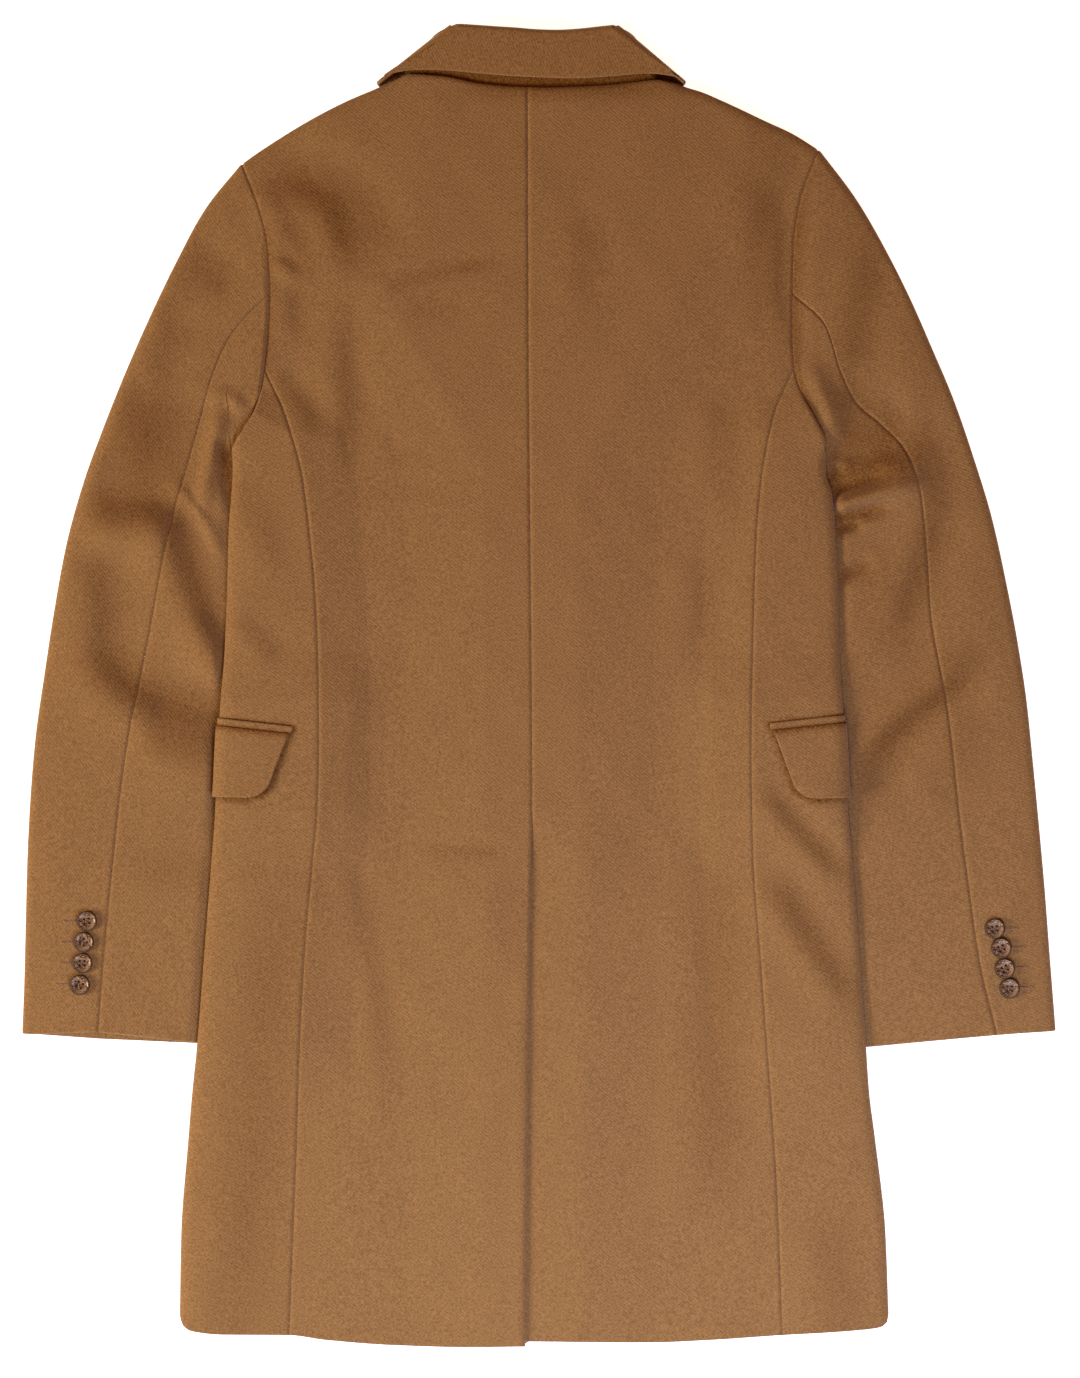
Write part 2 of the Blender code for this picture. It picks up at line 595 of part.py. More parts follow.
def sleeve_plan(side, layer, row, stations):
    """(x, down) of one section across the sleeve, from its outer to its inner fold, and the
    ways in which the two folds face."""
    outer, hind, inner = (sleeve_line(side, name, row) for name in ("outer", "hind", "inner"))
    if layer == UNDER:
        hind[1] += CUFF_DIP[side] * ramp(row, 13, LAST_ROW)
    outward, inward = fold_facing(side, "outer", row, 1), fold_facing(side, "inner", row, -1)
    turn = 1 - np.cos(np.radians([0, 45, 90]))[:, None]
    outer_turn = outer - outward * ROLL_WIDTH * turn
    inner_turn = inner - inward * TUCKED_ROLL_WIDTH * turn[::-1]
    length = np.hypot(*(inner_turn[0] - hind))
    least = np.interp(row, [1, 3], [28, 12])
    tuck = blend(hind, inner_turn[0], edge_crossing(side, hind, inner_turn[0], 1 - least / length))
    marks = np.concatenate([outer_turn, [blend(outer_turn[2], hind, 1 / 3)],
                            [blend(outer_turn[2], hind, 2 / 3)],
                            [blend(hind, tuck, share) for share in (0, 0.25, 0.5, 0.75, 1)],
                            inner_turn])
    index = np.arange(UNDERARM + 1)
    plan = np.stack([np.interp(stations, index, marks[:, 0]), np.interp(stations, index, marks[:, 1])],
                    axis=-1)
    return plan, outward, inward


def sleeve_height(side, x, down):
    """Height of a sleeve's top face, pressed down where it goes under the body's side."""
    inset = side * (side_edge(side, down) - x)
    press = ramp(inset, -16, 0) * ramp(down, 232, 250)
    return (blend(FLAT_HEIGHT, TUCKED_HEIGHT, press * press * (3 - 2 * press))
            + fold_height(SLEEVE_FOLDS, x, down) * (1 - press))


def sleeve_face(side, layer, rows, stations):
    """Outer and inner grids of one face of a sleeve."""
    armhole_x, armhole_down = armhole(side, stations)
    armhole_plan = np.stack([armhole_x, armhole_down], axis=-1)
    base, _, _ = sleeve_plan(side, TOP, 0, stations)
    outers, inners = [], []
    angle = np.interp(stations, [0, 1, 2, 10, 11, 12], [0, 45, 90, 90, 45, 0])
    at_outer = (stations < 6)[:, None]
    reach = np.interp(stations, [HINDARM, 8], [ARMHOLE_REACH, INNER_REACH])[:, None]
    for row in rows:
        plan, outward, inward = sleeve_plan(side, layer, row, stations)
        share = 1 - ramp(row, 0, reach)
        plan = plan + (armhole_plan - base) * share * share * (3 - 2 * share)
        x, down = plan[:, 0], plan[:, 1]
        over = sleeve_height(side, x, down)
        joined = np.interp(stations, [0, 7, 8, 9], [1, 1, 0.5, 0]) * (1 - ramp(row, 0, 1))
        over = blend(over, body_height(side, TOP, x, down), joined)
        over = np.where(stations < 2, FLAT_HEIGHT, over)
        under = body_height(side, UNDER, x, down) * joined * (stations < 7)
        half = (over - under) / 2
        up = under + half + layer * half * np.sin(np.radians(angle))
        out = np.where(at_outer, outward, inward)
        points = place(x, down, up)
        outers.append(points)
        inners.append(wall(points, out[:, 0], out[:, 1], layer * angle, WALL))
    return np.array(outers), np.array(inners)


def make_sleeve(side, finish):
    rows = np.arange(LAST_ROW + 1)
    over = sleeve_face(side, TOP, rows, np.arange(UNDERARM + 1))
    under = sleeve_face(side, UNDER, rows, np.arange(UNDERARM + 1))
    pieces = {
        "topsleeve_": [np.concatenate([top[:, HINDARM::-1], low[:, 1:FOREARM + 1]], axis=1)
                       for top, low in zip(over, under)],
        "undersleeve_": [np.concatenate([top[:, HINDARM:], low[:, UNDERARM - 1:FOREARM - 1:-1]], axis=1)
                         for top, low in zip(over, under)],
    }
    seams = ["first_row", "first_column", "last_column"]
    for name, (outer, inner) in pieces.items():
        cloth(name + SIDES[side], pulled_in(outer, seams), pulled_in(inner, seams), finish)


# ---------------------------------------------------------------- the collar

# Across the back of the collar: its roll line, the fall's edge and the neck seam
CollarRow = namedtuple("CollarRow", "roll_x roll_down edge_x edge_down neck_x")
COLLAR = (
    CollarRow(-62.0, -49.0, -118.0, -9.5, -96.0),
    CollarRow(-48.0, -48.2, -98.0, -13.3, -78.0),
    CollarRow(-34.0, -47.2, -72.0, -12.8, -56.0),
    CollarRow(-18.0, -46.2, -41.0, -9.4, -30.0),
    CollarRow(-4.0, -45.0, -8.0, -6.5, -7.0),
    CollarRow(14.0, -44.5, 28.0, -5.8, 20.0),
    CollarRow(30.0, -45.4, 58.0, -6.8, 44.0),
    CollarRow(43.0, -46.8, 84.0, -8.8, 68.0),
    CollarRow(54.0, -48.0, 104.0, -8.2, 88.0),
)
# Round the collar's ends and along the front, on the wearer's left: the same points
ENDS = {
    LEFT: {"roll": (-74.0, -49.0), "edge": (-126.5, -4.0), "neck": (-104.0, -11.0)},
    RIGHT: {"roll": (64.7, -48.5), "edge": (113.0, -4.5), "neck": (90.5, -7.6)},
}
LEAF = {"roll": (60.5, 24.0), "edge": (138.0, 40.0), "neck": (68.0, 24.0)}   # out, down
STAND_UP, FALL_UP, FALL_EDGE_UP = 11.0, 16.8, 15.4     # heights of the cloth's middle
FRONT_STAND_UP, LEAF_UP = 4.9, 1.4
FALL_TURN, STAND_TURN = 6.0, 3.0


def collar_column(neck, roll, edge, heights, turn_way):
    """Ten points of one section through the collar, from the neck seam up the stand, over the
    fold and down the fall. heights are the stand's, the fall's and the fall edge's."""
    stand_up, fall_up, edge_up = heights
    half = (fall_up - stand_up) / 2
    stand_roll = np.array([*roll["stand"], stand_up])
    fall_roll = np.array([*roll["fall"], fall_up])
    neck = np.array([*neck, stand_up])
    edge = np.array([*edge, edge_up])
    middle, arm = (stand_roll + fall_roll) / 2, (fall_roll - stand_roll) / 2
    apex = np.array([*turn_way, 0]) * max(np.linalg.norm(arm), abs(half))
    fold = [middle - arm * np.cos(a) + apex * np.sin(a) for a in np.radians([45, 90, 135])]
    fall = [blend(fall_roll, edge, share) for share in (1 / 3, 2 / 3, 1)]
    return [neck, blend(neck, stand_roll, 0.5), stand_roll, *fold, fall_roll, *fall]


def collar_end(side):
    """Columns round one end of the collar: over its turn, then along the front."""
    end, columns = ENDS[side], []
    edge, roll, neck = (np.array(end[name]) for name in ("edge", "roll", "neck"))
    along = (edge - roll) / np.hypot(*(edge - roll))
    out = np.array([side * abs(along[1]), -abs(along[0])])
    for angle in (0, 45, 90, 135, 180):
        swing, rise = np.sin(np.radians(angle)), np.cos(np.radians(angle))
        lean = np.radians(angle / 180 * 55)
        way = np.array([-side * np.sin(lean), -np.cos(lean)])
        fall_shift = -out * (COLLAR_WALL / 2 + FALL_TURN * (1 - swing))
        stand_shift = -out * (COLLAR_WALL / 2 + FALL_TURN + STAND_TURN * (1 - swing) - 1.5)
        back = way * (COLLAR_WALL / 2 + 2.9)
        heights = [blend(low, high, (rise + 1) / 2) for low, high in
                   ((FRONT_STAND_UP, STAND_UP), (LEAF_UP, FALL_UP), (LEAF_UP, FALL_EDGE_UP))]
        neck_at = neck + np.array([side * STAND_TURN * (swing - 1), 0])
        columns.append(collar_column(neck_at, {"stand": roll + stand_shift - back,
                                               "fall": roll + fall_shift - back},
                                     edge + fall_shift, heights, way))
    last = columns[-1]
    leaf = {name: np.array([MIDDLE + side * out_x, down]) for name, (out_x, down) in LEAF.items()}
    way = np.array([-side, 0.0])
    tip = collar_column(leaf["neck"], {"stand": leaf["roll"] - way * 1.0, "fall": leaf["roll"] - way * 1.0},
                        leaf["edge"], (FRONT_STAND_UP, LEAF_UP, LEAF_UP), way)
    for share in (1 / 3, 2 / 3, 1):
        columns.append([blend(a, b, share) for a, b in zip(last, tip)])
    return columns


def make_collar(finish):
    middle = []
    for row in COLLAR:
        roll = np.array([row.roll_x, row.roll_down + COLLAR_WALL / 2 + 2.9])
        neck = (row.neck_x, float(top_line(row.neck_x)) - SEAM_GAP - 0.2)
        middle.append(collar_column(neck, {"stand": roll, "fall": roll}, (row.edge_x, row.edge_down),
                                    (STAND_UP, FALL_UP, FALL_EDGE_UP), (0, -1)))
    columns = collar_end(LEFT)[::-1] + middle + collar_end(RIGHT)
    grid = np.array(columns)
    points = place(grid[..., 0], grid[..., 1], grid[..., 2])
    along, across = np.gradient(points, axis=0), np.gradient(points, axis=1)
    normal = np.cross(along, across)
    normal /= np.linalg.norm(normal, axis=-1, keepdims=True)
    half = normal * COLLAR_WALL / 2 * MM
    return cloth("collar", points + half, points - half, finish)


# ---------------------------------------------------------------- pockets


def side_skin(side, inset, down, angle, off):
    """A point that lies "off" above the side's outer face: inset from the side's edge, on the
    top where the angle is above 0 and on the underside where it is below."""
    rows = np.array(LEVELS)
    low = np.clip(np.searchsorted(rows, down, side="right") - 1, 0, len(rows) - 2)
    above, below = rows[low], rows[low + 1]
    ends = []
    for level in (above, below):
        x = side_edge(side, level) - side * inset
        ends.append(place(x, down, turned(side, x, level, angle)))
    points = blend(*ends, ((down - above) / (below - above))[..., None])
    return points + place_vector(side * np.cos(np.radians(angle)), 0,
                                 np.sin(np.radians(angle))) * off


def round_the_side(side, rear, down, slant, thickness, reach=FLAP_REACH - 16):
    """Grids of a strip that wraps the side, from its rear end on the top to its front end.
    rear, down and slant give each row's rear inset, its level at the side's edge and its fall
    towards the back."""
    angles = np.array([90, 90, 90, 45, 0, -45, -90, -90, -90])[None, :]
    share = np.array([1, 0.5, 0, 0, 0, 0, 0, 0.5, 1])[None, :]
    turn = ROLL_WIDTH * (1 - np.cos(np.radians(angles)))
    full = np.where(angles > 0, rear[:, None], reach)
    inset = np.where(np.abs(angles) < 90, turn, blend(ROLL_WIDTH, full, share))
    levels = down[:, None] + np.where(angles > 0, inset, -inset) * slant[:, None]
    return [side_skin(side, inset, levels, angles, off) for off in (LAYER_GAP + thickness, LAYER_GAP)]


JET_TOP = {LEFT: 485.0, RIGHT: 482.6}
JET_DEPTH, FLAP_DEPTH, FLAP_REAR, JET_REAR = 5.6, 55.0, 54.7, 57.0
POCKET_SLANT = 0.11


def make_pocket(side, finish):
    top = JET_TOP[side]
    outer, inner = round_the_side(side, np.full(2, JET_REAR), np.array([top, top + JET_DEPTH]),
                                  np.full(2, POCKET_SLANT), JET_WALL)
    cloth("pocket_jet_" + SIDES[side], outer, inner, finish)
    share = np.array([0, 0.35, 0.7, 0.93, 1])
    rear = FLAP_REAR - 18 * share - 5 * share**14
    flap_top = top + JET_DEPTH + SEAM_GAP
    slant = POCKET_SLANT * (1 - 0.8 * share)
    outer, inner = round_the_side(side, rear, flap_top + FLAP_DEPTH * share, slant, WALL)
    cloth("pocket_flap_" + SIDES[side], outer, inner, finish)


# ---------------------------------------------------------------- buttons

CUFF_BUTTON_WIDTH, FRONT_BUTTON_WIDTH = 15.2, 25.0
BUTTON_THICKNESS = 3.2
ButtonPlace = namedtuple("ButtonPlace", "x down")
CUFF_BUTTONS = {
    LEFT: (ButtonPlace(-348.8, 641.4), ButtonPlace(-351.1, 657.6),
           ButtonPlace(-352.3, 673.8), ButtonPlace(-354.2, 690.5)),
    RIGHT: (ButtonPlace(350.0, 647.2), ButtonPlace(355.0, 662.2),
            ButtonPlace(357.7, 678.0), ButtonPlace(361.4, 693.3)),
}
FRONT_BUTTON_LEVELS = (305.0, 420.0, 535.0)


def button_mesh(name, width, turns=16):
    """A four-hole button: a turned disc with a rounded rim and a dished face, bored four times."""
    radius, thickness = width / 2 * MM, BUTTON_THICKNESS * MM
    rim = 0.055 * width * MM
    profile = ((radius - rim / 2, 0), (radius, rim), (radius, thickness - rim),
               (radius - rim, thickness), (radius - 2.8 * rim, thickness - rim))
    shape = bmesh.new()
    rings = [[shape.verts.new((r * np.cos(a), r * np.sin(a), z))
              for a in np.linspace(0, 2 * np.pi, turns, endpoint=False)] for r, z in profile]
    for low, high in zip(rings, rings[1:]):
        for i in range(turns):
            shape.faces.new((low[i], low[(i + 1) % turns], high[(i + 1) % turns], high[i]))
    shape.faces.new(rings[0][::-1])
    shape.faces.new(rings[-1])
    disc = bpy.data.meshes.new(name + "_disc")
    shape.to_mesh(disc)
    shape.free()

    bores = bmesh.new()
    for quarter in range(4):
        angle = np.radians(45 + 90 * quarter)
        made = bmesh.ops.create_cone(bores, cap_ends=True, segments=6, radius1=0.058 * width * MM,
                                     radius2=0.058 * width * MM, depth=4 * thickness)
        bmesh.ops.translate(bores, verts=made["verts"],
                            vec=(0.14 * width * MM * np.cos(angle), 0.14 * width * MM * np.sin(angle), 0))
    cutter_mesh = bpy.data.meshes.new(name + "_bores")
    bores.to_mesh(cutter_mesh)
    bores.free()

    disc_object = bpy.data.objects.new(name + "_disc", disc)
    cutter = bpy.data.objects.new(name + "_bores", cutter_mesh)
    for made in (disc_object, cutter):
        bpy.context.collection.objects.link(made)
    cut = disc_object.modifiers.new("bores", "BOOLEAN")
    cut.operation = "DIFFERENCE"
    cut.object = cutter
    evaluated = disc_object.evaluated_get(bpy.context.evaluated_depsgraph_get())
    mesh = bpy.data.meshes.new_from_object(evaluated)
    mesh.name = name
    for made in (disc_object, cutter):
        bpy.data.objects.remove(made)
    mesh.shade_smooth()
    mesh.set_sharp_from_angle(angle=np.radians(40))
    return mesh


def make_buttons(finish):
    cuff = button_mesh("cuff_button", CUFF_BUTTON_WIDTH)
    front = button_mesh("front_button", FRONT_BUTTON_WIDTH)
    for side, places in CUFF_BUTTONS.items():
        for number, spot in enumerate(places, 1):
            made = new_object(f"cuff_button_{SIDES[side]}_{number}", cuff, finish)
            seat = float(sleeve_height(side, np.array(spot.x), np.array(spot.down))) + LAYER_GAP
            made.location = place(spot.x, spot.down, seat)
    for number, level in enumerate(FRONT_BUTTON_LEVELS, 1):
        made = new_object(f"front_button_{number}", front, finish)
        made.location = place(MIDDLE, level, BUTTON_THICKNESS)
        made.rotation_euler = (np.pi, 0, 0)


def main():
    for old in list(bpy.data.objects):
        bpy.data.objects.remove(old)
    coating = material("camel_coating", (0.27, 0.14, 0.062), 0.92)
    horn = material("brown_horn", (0.055, 0.025, 0.012), 0.3)
    for side in SIDES:
        make_back(side, coating)
        make_side(side, coating)
        make_front(side, coating)
        make_lapel(side, coating)
        make_sleeve(side, coating)
        make_pocket(side, coating)
    make_collar(coating)
    make_buttons(horn)


main()
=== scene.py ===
"""The looks of a camel wool overcoat that lies flat on its front, back up.

Lengths in the tables are millimetres: x runs to the right of the coat's middle, down from the
back neck seam towards the hem, up over the surface it lies on. Left and right are the
wearer's. Each cloth piece is one closed, thin wall on the form of its solid, and the creases
in it are laid on one by one from a table. The body is a flat tube, the sleeves lie beside it
with their inner edges under its sides, and the panels rest on each other.
"""

from collections import namedtuple

import bpy
import numpy as np
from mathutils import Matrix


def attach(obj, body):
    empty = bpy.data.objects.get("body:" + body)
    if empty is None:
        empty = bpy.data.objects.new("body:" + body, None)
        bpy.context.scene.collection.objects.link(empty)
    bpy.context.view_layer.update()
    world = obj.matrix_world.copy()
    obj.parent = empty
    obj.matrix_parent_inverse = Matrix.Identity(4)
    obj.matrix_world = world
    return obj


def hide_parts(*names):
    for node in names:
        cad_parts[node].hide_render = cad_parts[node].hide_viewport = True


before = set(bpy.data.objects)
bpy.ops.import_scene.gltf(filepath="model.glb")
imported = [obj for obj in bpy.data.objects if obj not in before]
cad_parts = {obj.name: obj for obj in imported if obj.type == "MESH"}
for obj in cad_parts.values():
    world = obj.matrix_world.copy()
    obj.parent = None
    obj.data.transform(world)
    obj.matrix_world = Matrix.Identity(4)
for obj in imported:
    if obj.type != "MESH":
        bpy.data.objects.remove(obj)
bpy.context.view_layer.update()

MM = 0.001
LEFT, RIGHT = -1, 1
SIDES = {LEFT: "left", RIGHT: "right"}
TOP, UNDER = 1, -1

# Cloth
WALL = 1.9              # coating with its interlining
COLLAR_WALL = 2.5
JET_WALL = 1.2
SEAM_GAP = 0.12         # between the outer faces of two pieces sewn edge to edge
SEAM_LAP = 0.5          # of their inner faces, which are sewn together
LAYER_GAP = 0.4         # between two pieces that lie on each other

# How high the layers lie
FLAT_HEIGHT = 8.6       # of a flat tube of cloth, outside to outside
TUCKED_HEIGHT = 5.5     # of a sleeve's inner edge, pressed under the body
SIDE_LIFT = 5.9         # of the body's sides, over the sleeves
FLAP_LIFT = 3.3         # more, over the pocket flaps
STRIP_LIFT = 3.6        # of the buttoned middle and the lapels, over buttons and lapels
OVERLAP_LIFT = 3.0      # of the right front, over the left front
VENT_DROP = 3.3         # of the right back, under the left back
VENT_FALL_WIDTH = 46.0  # over which the right back comes up again beside the vent
ROLL_WIDTH = 8.0        # of the turn at the outline of a flat tube
TUCKED_ROLL_WIDTH = 3.2  # of the turn at a sleeve's pressed inner edge

# Levels down the body
MIDDLE = -6.5           # x of the buttoned front's middle
CENTRE_X, NECK_Y = 0.8, 460.22    # where x 0 and the back neck seam lie, in the coat's box
LAPEL_LEVEL, BREAK_LEVEL = 60.0, 300.0
CUFF_LEVEL, SKIRT_FLAT_LEVEL = 738.0, 810.0
VENT_LEVEL, VENT_SEAM_END = 600.0, 555.0
LAST_BUTTON_LEVEL, FRONT_FLAT_LEVEL = 555.0, 600.0
HEM_CURVE_LEVEL, HEM_LEVEL = 810.0, 960.0
FIRST_LEVEL, STRAIGHT_LEVEL = 245.0, 295.0    # below the armhole; where rows run straight
UNDERARM_LEVEL, UNDERARM_FADE = 262.0, 30.0   # where the body's side edge starts to ease off

# Where the layers rise over each other
FRONT_OVERLAP = 22.0    # of each front past the middle
FRONT_RAMP = 40.0       # across a front, beside what lies on the sleeve
FLAP_REACH, FLAP_FADE = 100.0, 30.0           # of a pocket flap round the side
FLAP_LEVELS = (435.0, 470.0, 555.0, 600.0)    # where the side starts and ends to rise and fall
SIDE_LEVELS, SIDE_SLANT = (236.0, 266.0), 28.0    # where it rises over the sleeve
STRIP_HALVES, STRIP_FADES = (165.0, 36.0), (40.0, 60.0)   # at the lapels, at their break
STRIP_SHOWN = 1.1       # share of the strip's rise that the back takes on
OVERLAP_LEVELS, OVERLAP_REACH = (170.0, 225.0), (38.0, 66.0)
SHOULDER_OUT, SHOULDER_UP = 0.45, -0.89       # which way the shoulder line faces

# How the flat tubes ease off beside their outlines
BODY_EDGE_FALL, SLEEVE_EDGE_FALL = {LEFT: 2.6, RIGHT: 1.3}, {LEFT: 1.8, RIGHT: 1.2}
EDGE_FALL_WIDTH = 30.0
HEAD_RISE = {LEFT: 1.5, RIGHT: 0.5}     # of a sleeve's head over the armhole seam
HEAD_ROWS = (0.3, 0.5, 2.6)     # of the sleeve, where the head is up, starts to fall, is down
SEAM_ROWS = 0.4         # over which a sleeve comes off the body's height at the seam

# How finely a piece is made
SHOWN_PITCH, HIDDEN_PITCH = 3.0, 6.0
EDGE_STEPS = np.array([0, 0.45, 1.0, 1.7, 2.6, 4.2])    # of the lines next to an edge
TURN_ANGLES = np.arange(0, 91, 15)                      # from an outline up to the top
ROUND_ANGLES = np.arange(90, -91, -15)                  # from the top round to the underside
SEWN, FREE = "sewn", "free"
SEAM_SPAN, SEAM_TUCK = 2.6, 0.62      # of the groove that a seam pulls into the cloth
EDGE_ROUND, EDGE_TUCK = 1.1, 0.46     # of a turned edge

Station = namedtuple("Station", "left_x left_down right_x right_down")
ARMHOLE = (
    Station(-229.8, 57.8, 214.8, 47.0),
    Station(-229.0, 60.0, 213.9, 49.2),
    Station(-227.0, 65.3, 211.8, 54.6),
    Station(-217.3, 90.0, 200.0, 88.0),
    Station(-209.8, 122.0, 195.3, 120.0),
    Station(-207.9, 158.0, 194.3, 158.0),
    Station(-209.4, 188.0, 194.0, 190.0),
    Station(-212.4, 216.5, 195.6, 216.0),
    Station(-215.6, 236.4, 201.0, 234.0),
    Station(-220.7, 250.5, 211.5, 254.5),
    Station(-227.5, 261.0, 219.6, 272.4),
    Station(-231.0, 265.8, 220.0, 278.0),
    Station(-232.5, 267.5, 220.1, 280.3),
)
# Stations of the armhole seam, and across a sleeve from its outer fold to its inner one
OUTER_TURN, HINDARM, SIDE_SEAM, FOREARM, TUCK, INNER_TURN, UNDERARM = 2, 5, 7, 8, 9, 10, 12
STATION_TURN = 45       # degrees that a fold turns from one station to the next

Level = namedtuple("Level", "down edge_left seam_left centre seam_right edge_right")
BODY = (
    Level(0, -238.5, -212.4, -9.6, 195.6, 219.5),
    Level(216, -238.5, -212.4, -8.9, 195.6, 219.5),
    Level(245, -238.5, -198.7, -8.6, 182.1, 219.5),
    Level(295, -236.6, -183.6, -8.1, 171.3, 220.0),
    Level(312, -237.6, -180.9, -8.0, 169.3, 224.6),
    Level(340, -239.7, -177.5, -7.7, 166.9, 227.4),
    Level(390, -241.0, -172.9, -7.2, 164.9, 229.5),
    Level(435, -242.9, -170.9, -6.8, 163.8, 230.5),
    Level(470, -245.6, -170.2, -6.5, 162.9, 232.5),
    Level(510, -248.3, -170.2, -6.3, 162.5, 234.9),
    Level(555, -249.9, -171.2, -6.2, 163.0, 236.8),
    Level(600, -253.3, -175.3, -7.3, 164.4, 241.0),
    Level(660, -258.0, -180.7, -8.2, 169.0, 245.6),
    Level(738, -264.1, -185.0, -9.2, 174.8, 251.0),
    Level(775, -268.0, -186.3, -9.6, 177.6, 253.7),
    Level(810, -271.0, -187.3, -10.0, 180.2, 258.3),
    Level(885, -276.4, -190.2, -10.8, 184.0, 266.2),
    Level(960, -277.6, -193.3, -11.6, 186.5, 268.7),
)

TopPoint = namedtuple("TopPoint", "x down")
TOP_LINE = (
    TopPoint(-229.8, 57.8), TopPoint(-215.6, 47.7), TopPoint(-178.0, 24.6),
    TopPoint(-148.0, 9.2), TopPoint(-127.0, 0.3), TopPoint(-113.0, -6.0),
    TopPoint(-100.0, -10.3), TopPoint(-77.0, -8.9), TopPoint(-46.0, -3.0),
    TopPoint(-15.0, -0.4), TopPoint(8.0, 0.0), TopPoint(46.0, -1.5),
    TopPoint(77.0, -4.6), TopPoint(92.0, -6.0), TopPoint(103.0, -4.6),
    TopPoint(113.0, -0.9), TopPoint(124.0, 2.4), TopPoint(140.0, 9.2),
    TopPoint(173.0, 24.6), TopPoint(195.0, 34.7), TopPoint(214.8, 47.0),
)
NECK_HALF_WIDTH, SHOULDER_START = 97.0, 112.0

LEFT_HEM = (
    TopPoint(-277.6, 946.0), TopPoint(-275.5, 953.0), TopPoint(-268.0, 957.5),
    TopPoint(-245.0, 960.0), TopPoint(-192.5, 960.5), TopPoint(-166.0, 964.0),
    TopPoint(-114.0, 968.0), TopPoint(-61.0, 969.4), TopPoint(-8.0, 968.8),
)
RIGHT_HEM = (
    TopPoint(-60.0, 965.0), TopPoint(15.0, 965.3), TopPoint(85.0, 966.0),
    TopPoint(132.0, 964.0), TopPoint(187.0, 960.3), TopPoint(248.7, 956.4),
    TopPoint(262.0, 954.5), TopPoint(267.5, 951.0), TopPoint(268.7, 945.0),
)

EdgePoint = namedtuple("EdgePoint", "down out")
FRONT_EDGE = (
    EdgePoint(-8, 99.0), EdgePoint(6, 82.5), EdgePoint(18, 72.5), EdgePoint(32, 63.5),
    EdgePoint(130, 33.5), EdgePoint(250, -1.5), EdgePoint(297, -14.5),
    EdgePoint(330, -FRONT_OVERLAP), EdgePoint(1000, -FRONT_OVERLAP),
)

SleeveRow = namedtuple("SleeveRow", "outer_x outer_down hind_x hind_down inner_x inner_down")
SLEEVE = {
    LEFT: (
        SleeveRow(-229.8, 57.8, -207.9, 158.0, -232.5, 267.5),
        SleeveRow(-258.0, 93.2, -223.3, 172.5, -233.5, 281.0),
        SleeveRow(-280.3, 134.0, -240.2, 194.0, -234.0, 300.0),
        SleeveRow(-300.3, 175.6, -252.6, 222.5, -231.0, 322.0),
        SleeveRow(-319.6, 219.5, -262.6, 258.7, -222.0, 348.0),
        SleeveRow(-338.0, 265.7, -272.6, 294.1, -203.0, 378.8),
        SleeveRow(-351.1, 301.8, -283.4, 331.1, -195.0, 409.6),
        SleeveRow(-365.0, 351.9, -292.6, 375.0, -192.5, 448.1),
        SleeveRow(-374.2, 401.9, -300.3, 417.3, -198.7, 482.8),
        SleeveRow(-381.9, 452.0, -308.8, 458.9, -205.6, 517.4),
        SleeveRow(-388.9, 502.0, -317.2, 502.0, -212.5, 552.1),
        SleeveRow(-392.7, 548.2, -323.4, 546.0, -219.5, 586.7),
        SleeveRow(-395.0, 594.4, -328.4, 592.1, -227.2, 625.2),
        SleeveRow(-396.2, 640.6, -333.0, 639.1, -235.6, 663.7),
        SleeveRow(-397.3, 686.8, -337.3, 686.8, -244.1, 702.2),
        SleeveRow(-398.9, 728.4, -340.3, 726.9, -251.8, 736.9),
    ),
    RIGHT: (
        SleeveRow(214.8, 47.0, 194.3, 158.0, 220.1, 280.3),
        SleeveRow(244.1, 86.2, 219.5, 182.5, 219.8, 292.0),
        SleeveRow(266.4, 124.7, 231.0, 217.1, 218.5, 309.0),
        SleeveRow(285.7, 163.2, 242.6, 241.0, 213.0, 334.0),
        SleeveRow(302.6, 201.7, 263.3, 259.5, 200.0, 360.4),
        SleeveRow(318.8, 240.2, 281.1, 278.7, 188.0, 390.4),
        SleeveRow(334.2, 284.9, 293.4, 315.7, 180.0, 422.0),
        SleeveRow(348.0, 330.3, 298.0, 363.4, 179.4, 455.8),
        SleeveRow(358.8, 378.8, 301.1, 405.8, 184.8, 488.2),
        SleeveRow(368.1, 427.4, 307.2, 442.8, 191.7, 521.3),
        SleeveRow(375.0, 472.8, 314.2, 480.5, 199.4, 554.4),
        SleeveRow(379.6, 517.4, 318.8, 521.3, 207.1, 588.3),
        SleeveRow(384.2, 565.2, 323.4, 563.6, 215.6, 622.9),
        SleeveRow(388.9, 617.5, 330.3, 616.0, 224.1, 660.7),
        SleeveRow(392.7, 667.6, 338.0, 669.9, 232.5, 700.7),
        SleeveRow(397.3, 726.1, 351.9, 729.2, 240.2, 740.0),
    ),
}
LAST_ROW = 15
ARMHOLE_REACH, INNER_REACH = 4.5, 1.0     # rows over which a sleeve leaves the armhole's line
UNDERARM_TUCK = {LEFT: 0.5, RIGHT: 2.6}   # of the inner fold, further under the body
TUCK_STATIONS, TUCK_ROWS = (8.6, 9.6), (1, 3)     # over which it comes in and goes out
TUCKED_WIDTHS = (28.0, 12.0)    # least that lies under the body, at the first and last of them
CUFF_DIP, DIP_ROW = {LEFT: 5.5, RIGHT: 0.5}, 13   # of a cuff's under layer, and from which row
PRESS_INSET, PRESS_FADE = (-9.0, 3.0), 14.0   # where the body's side presses a sleeve down

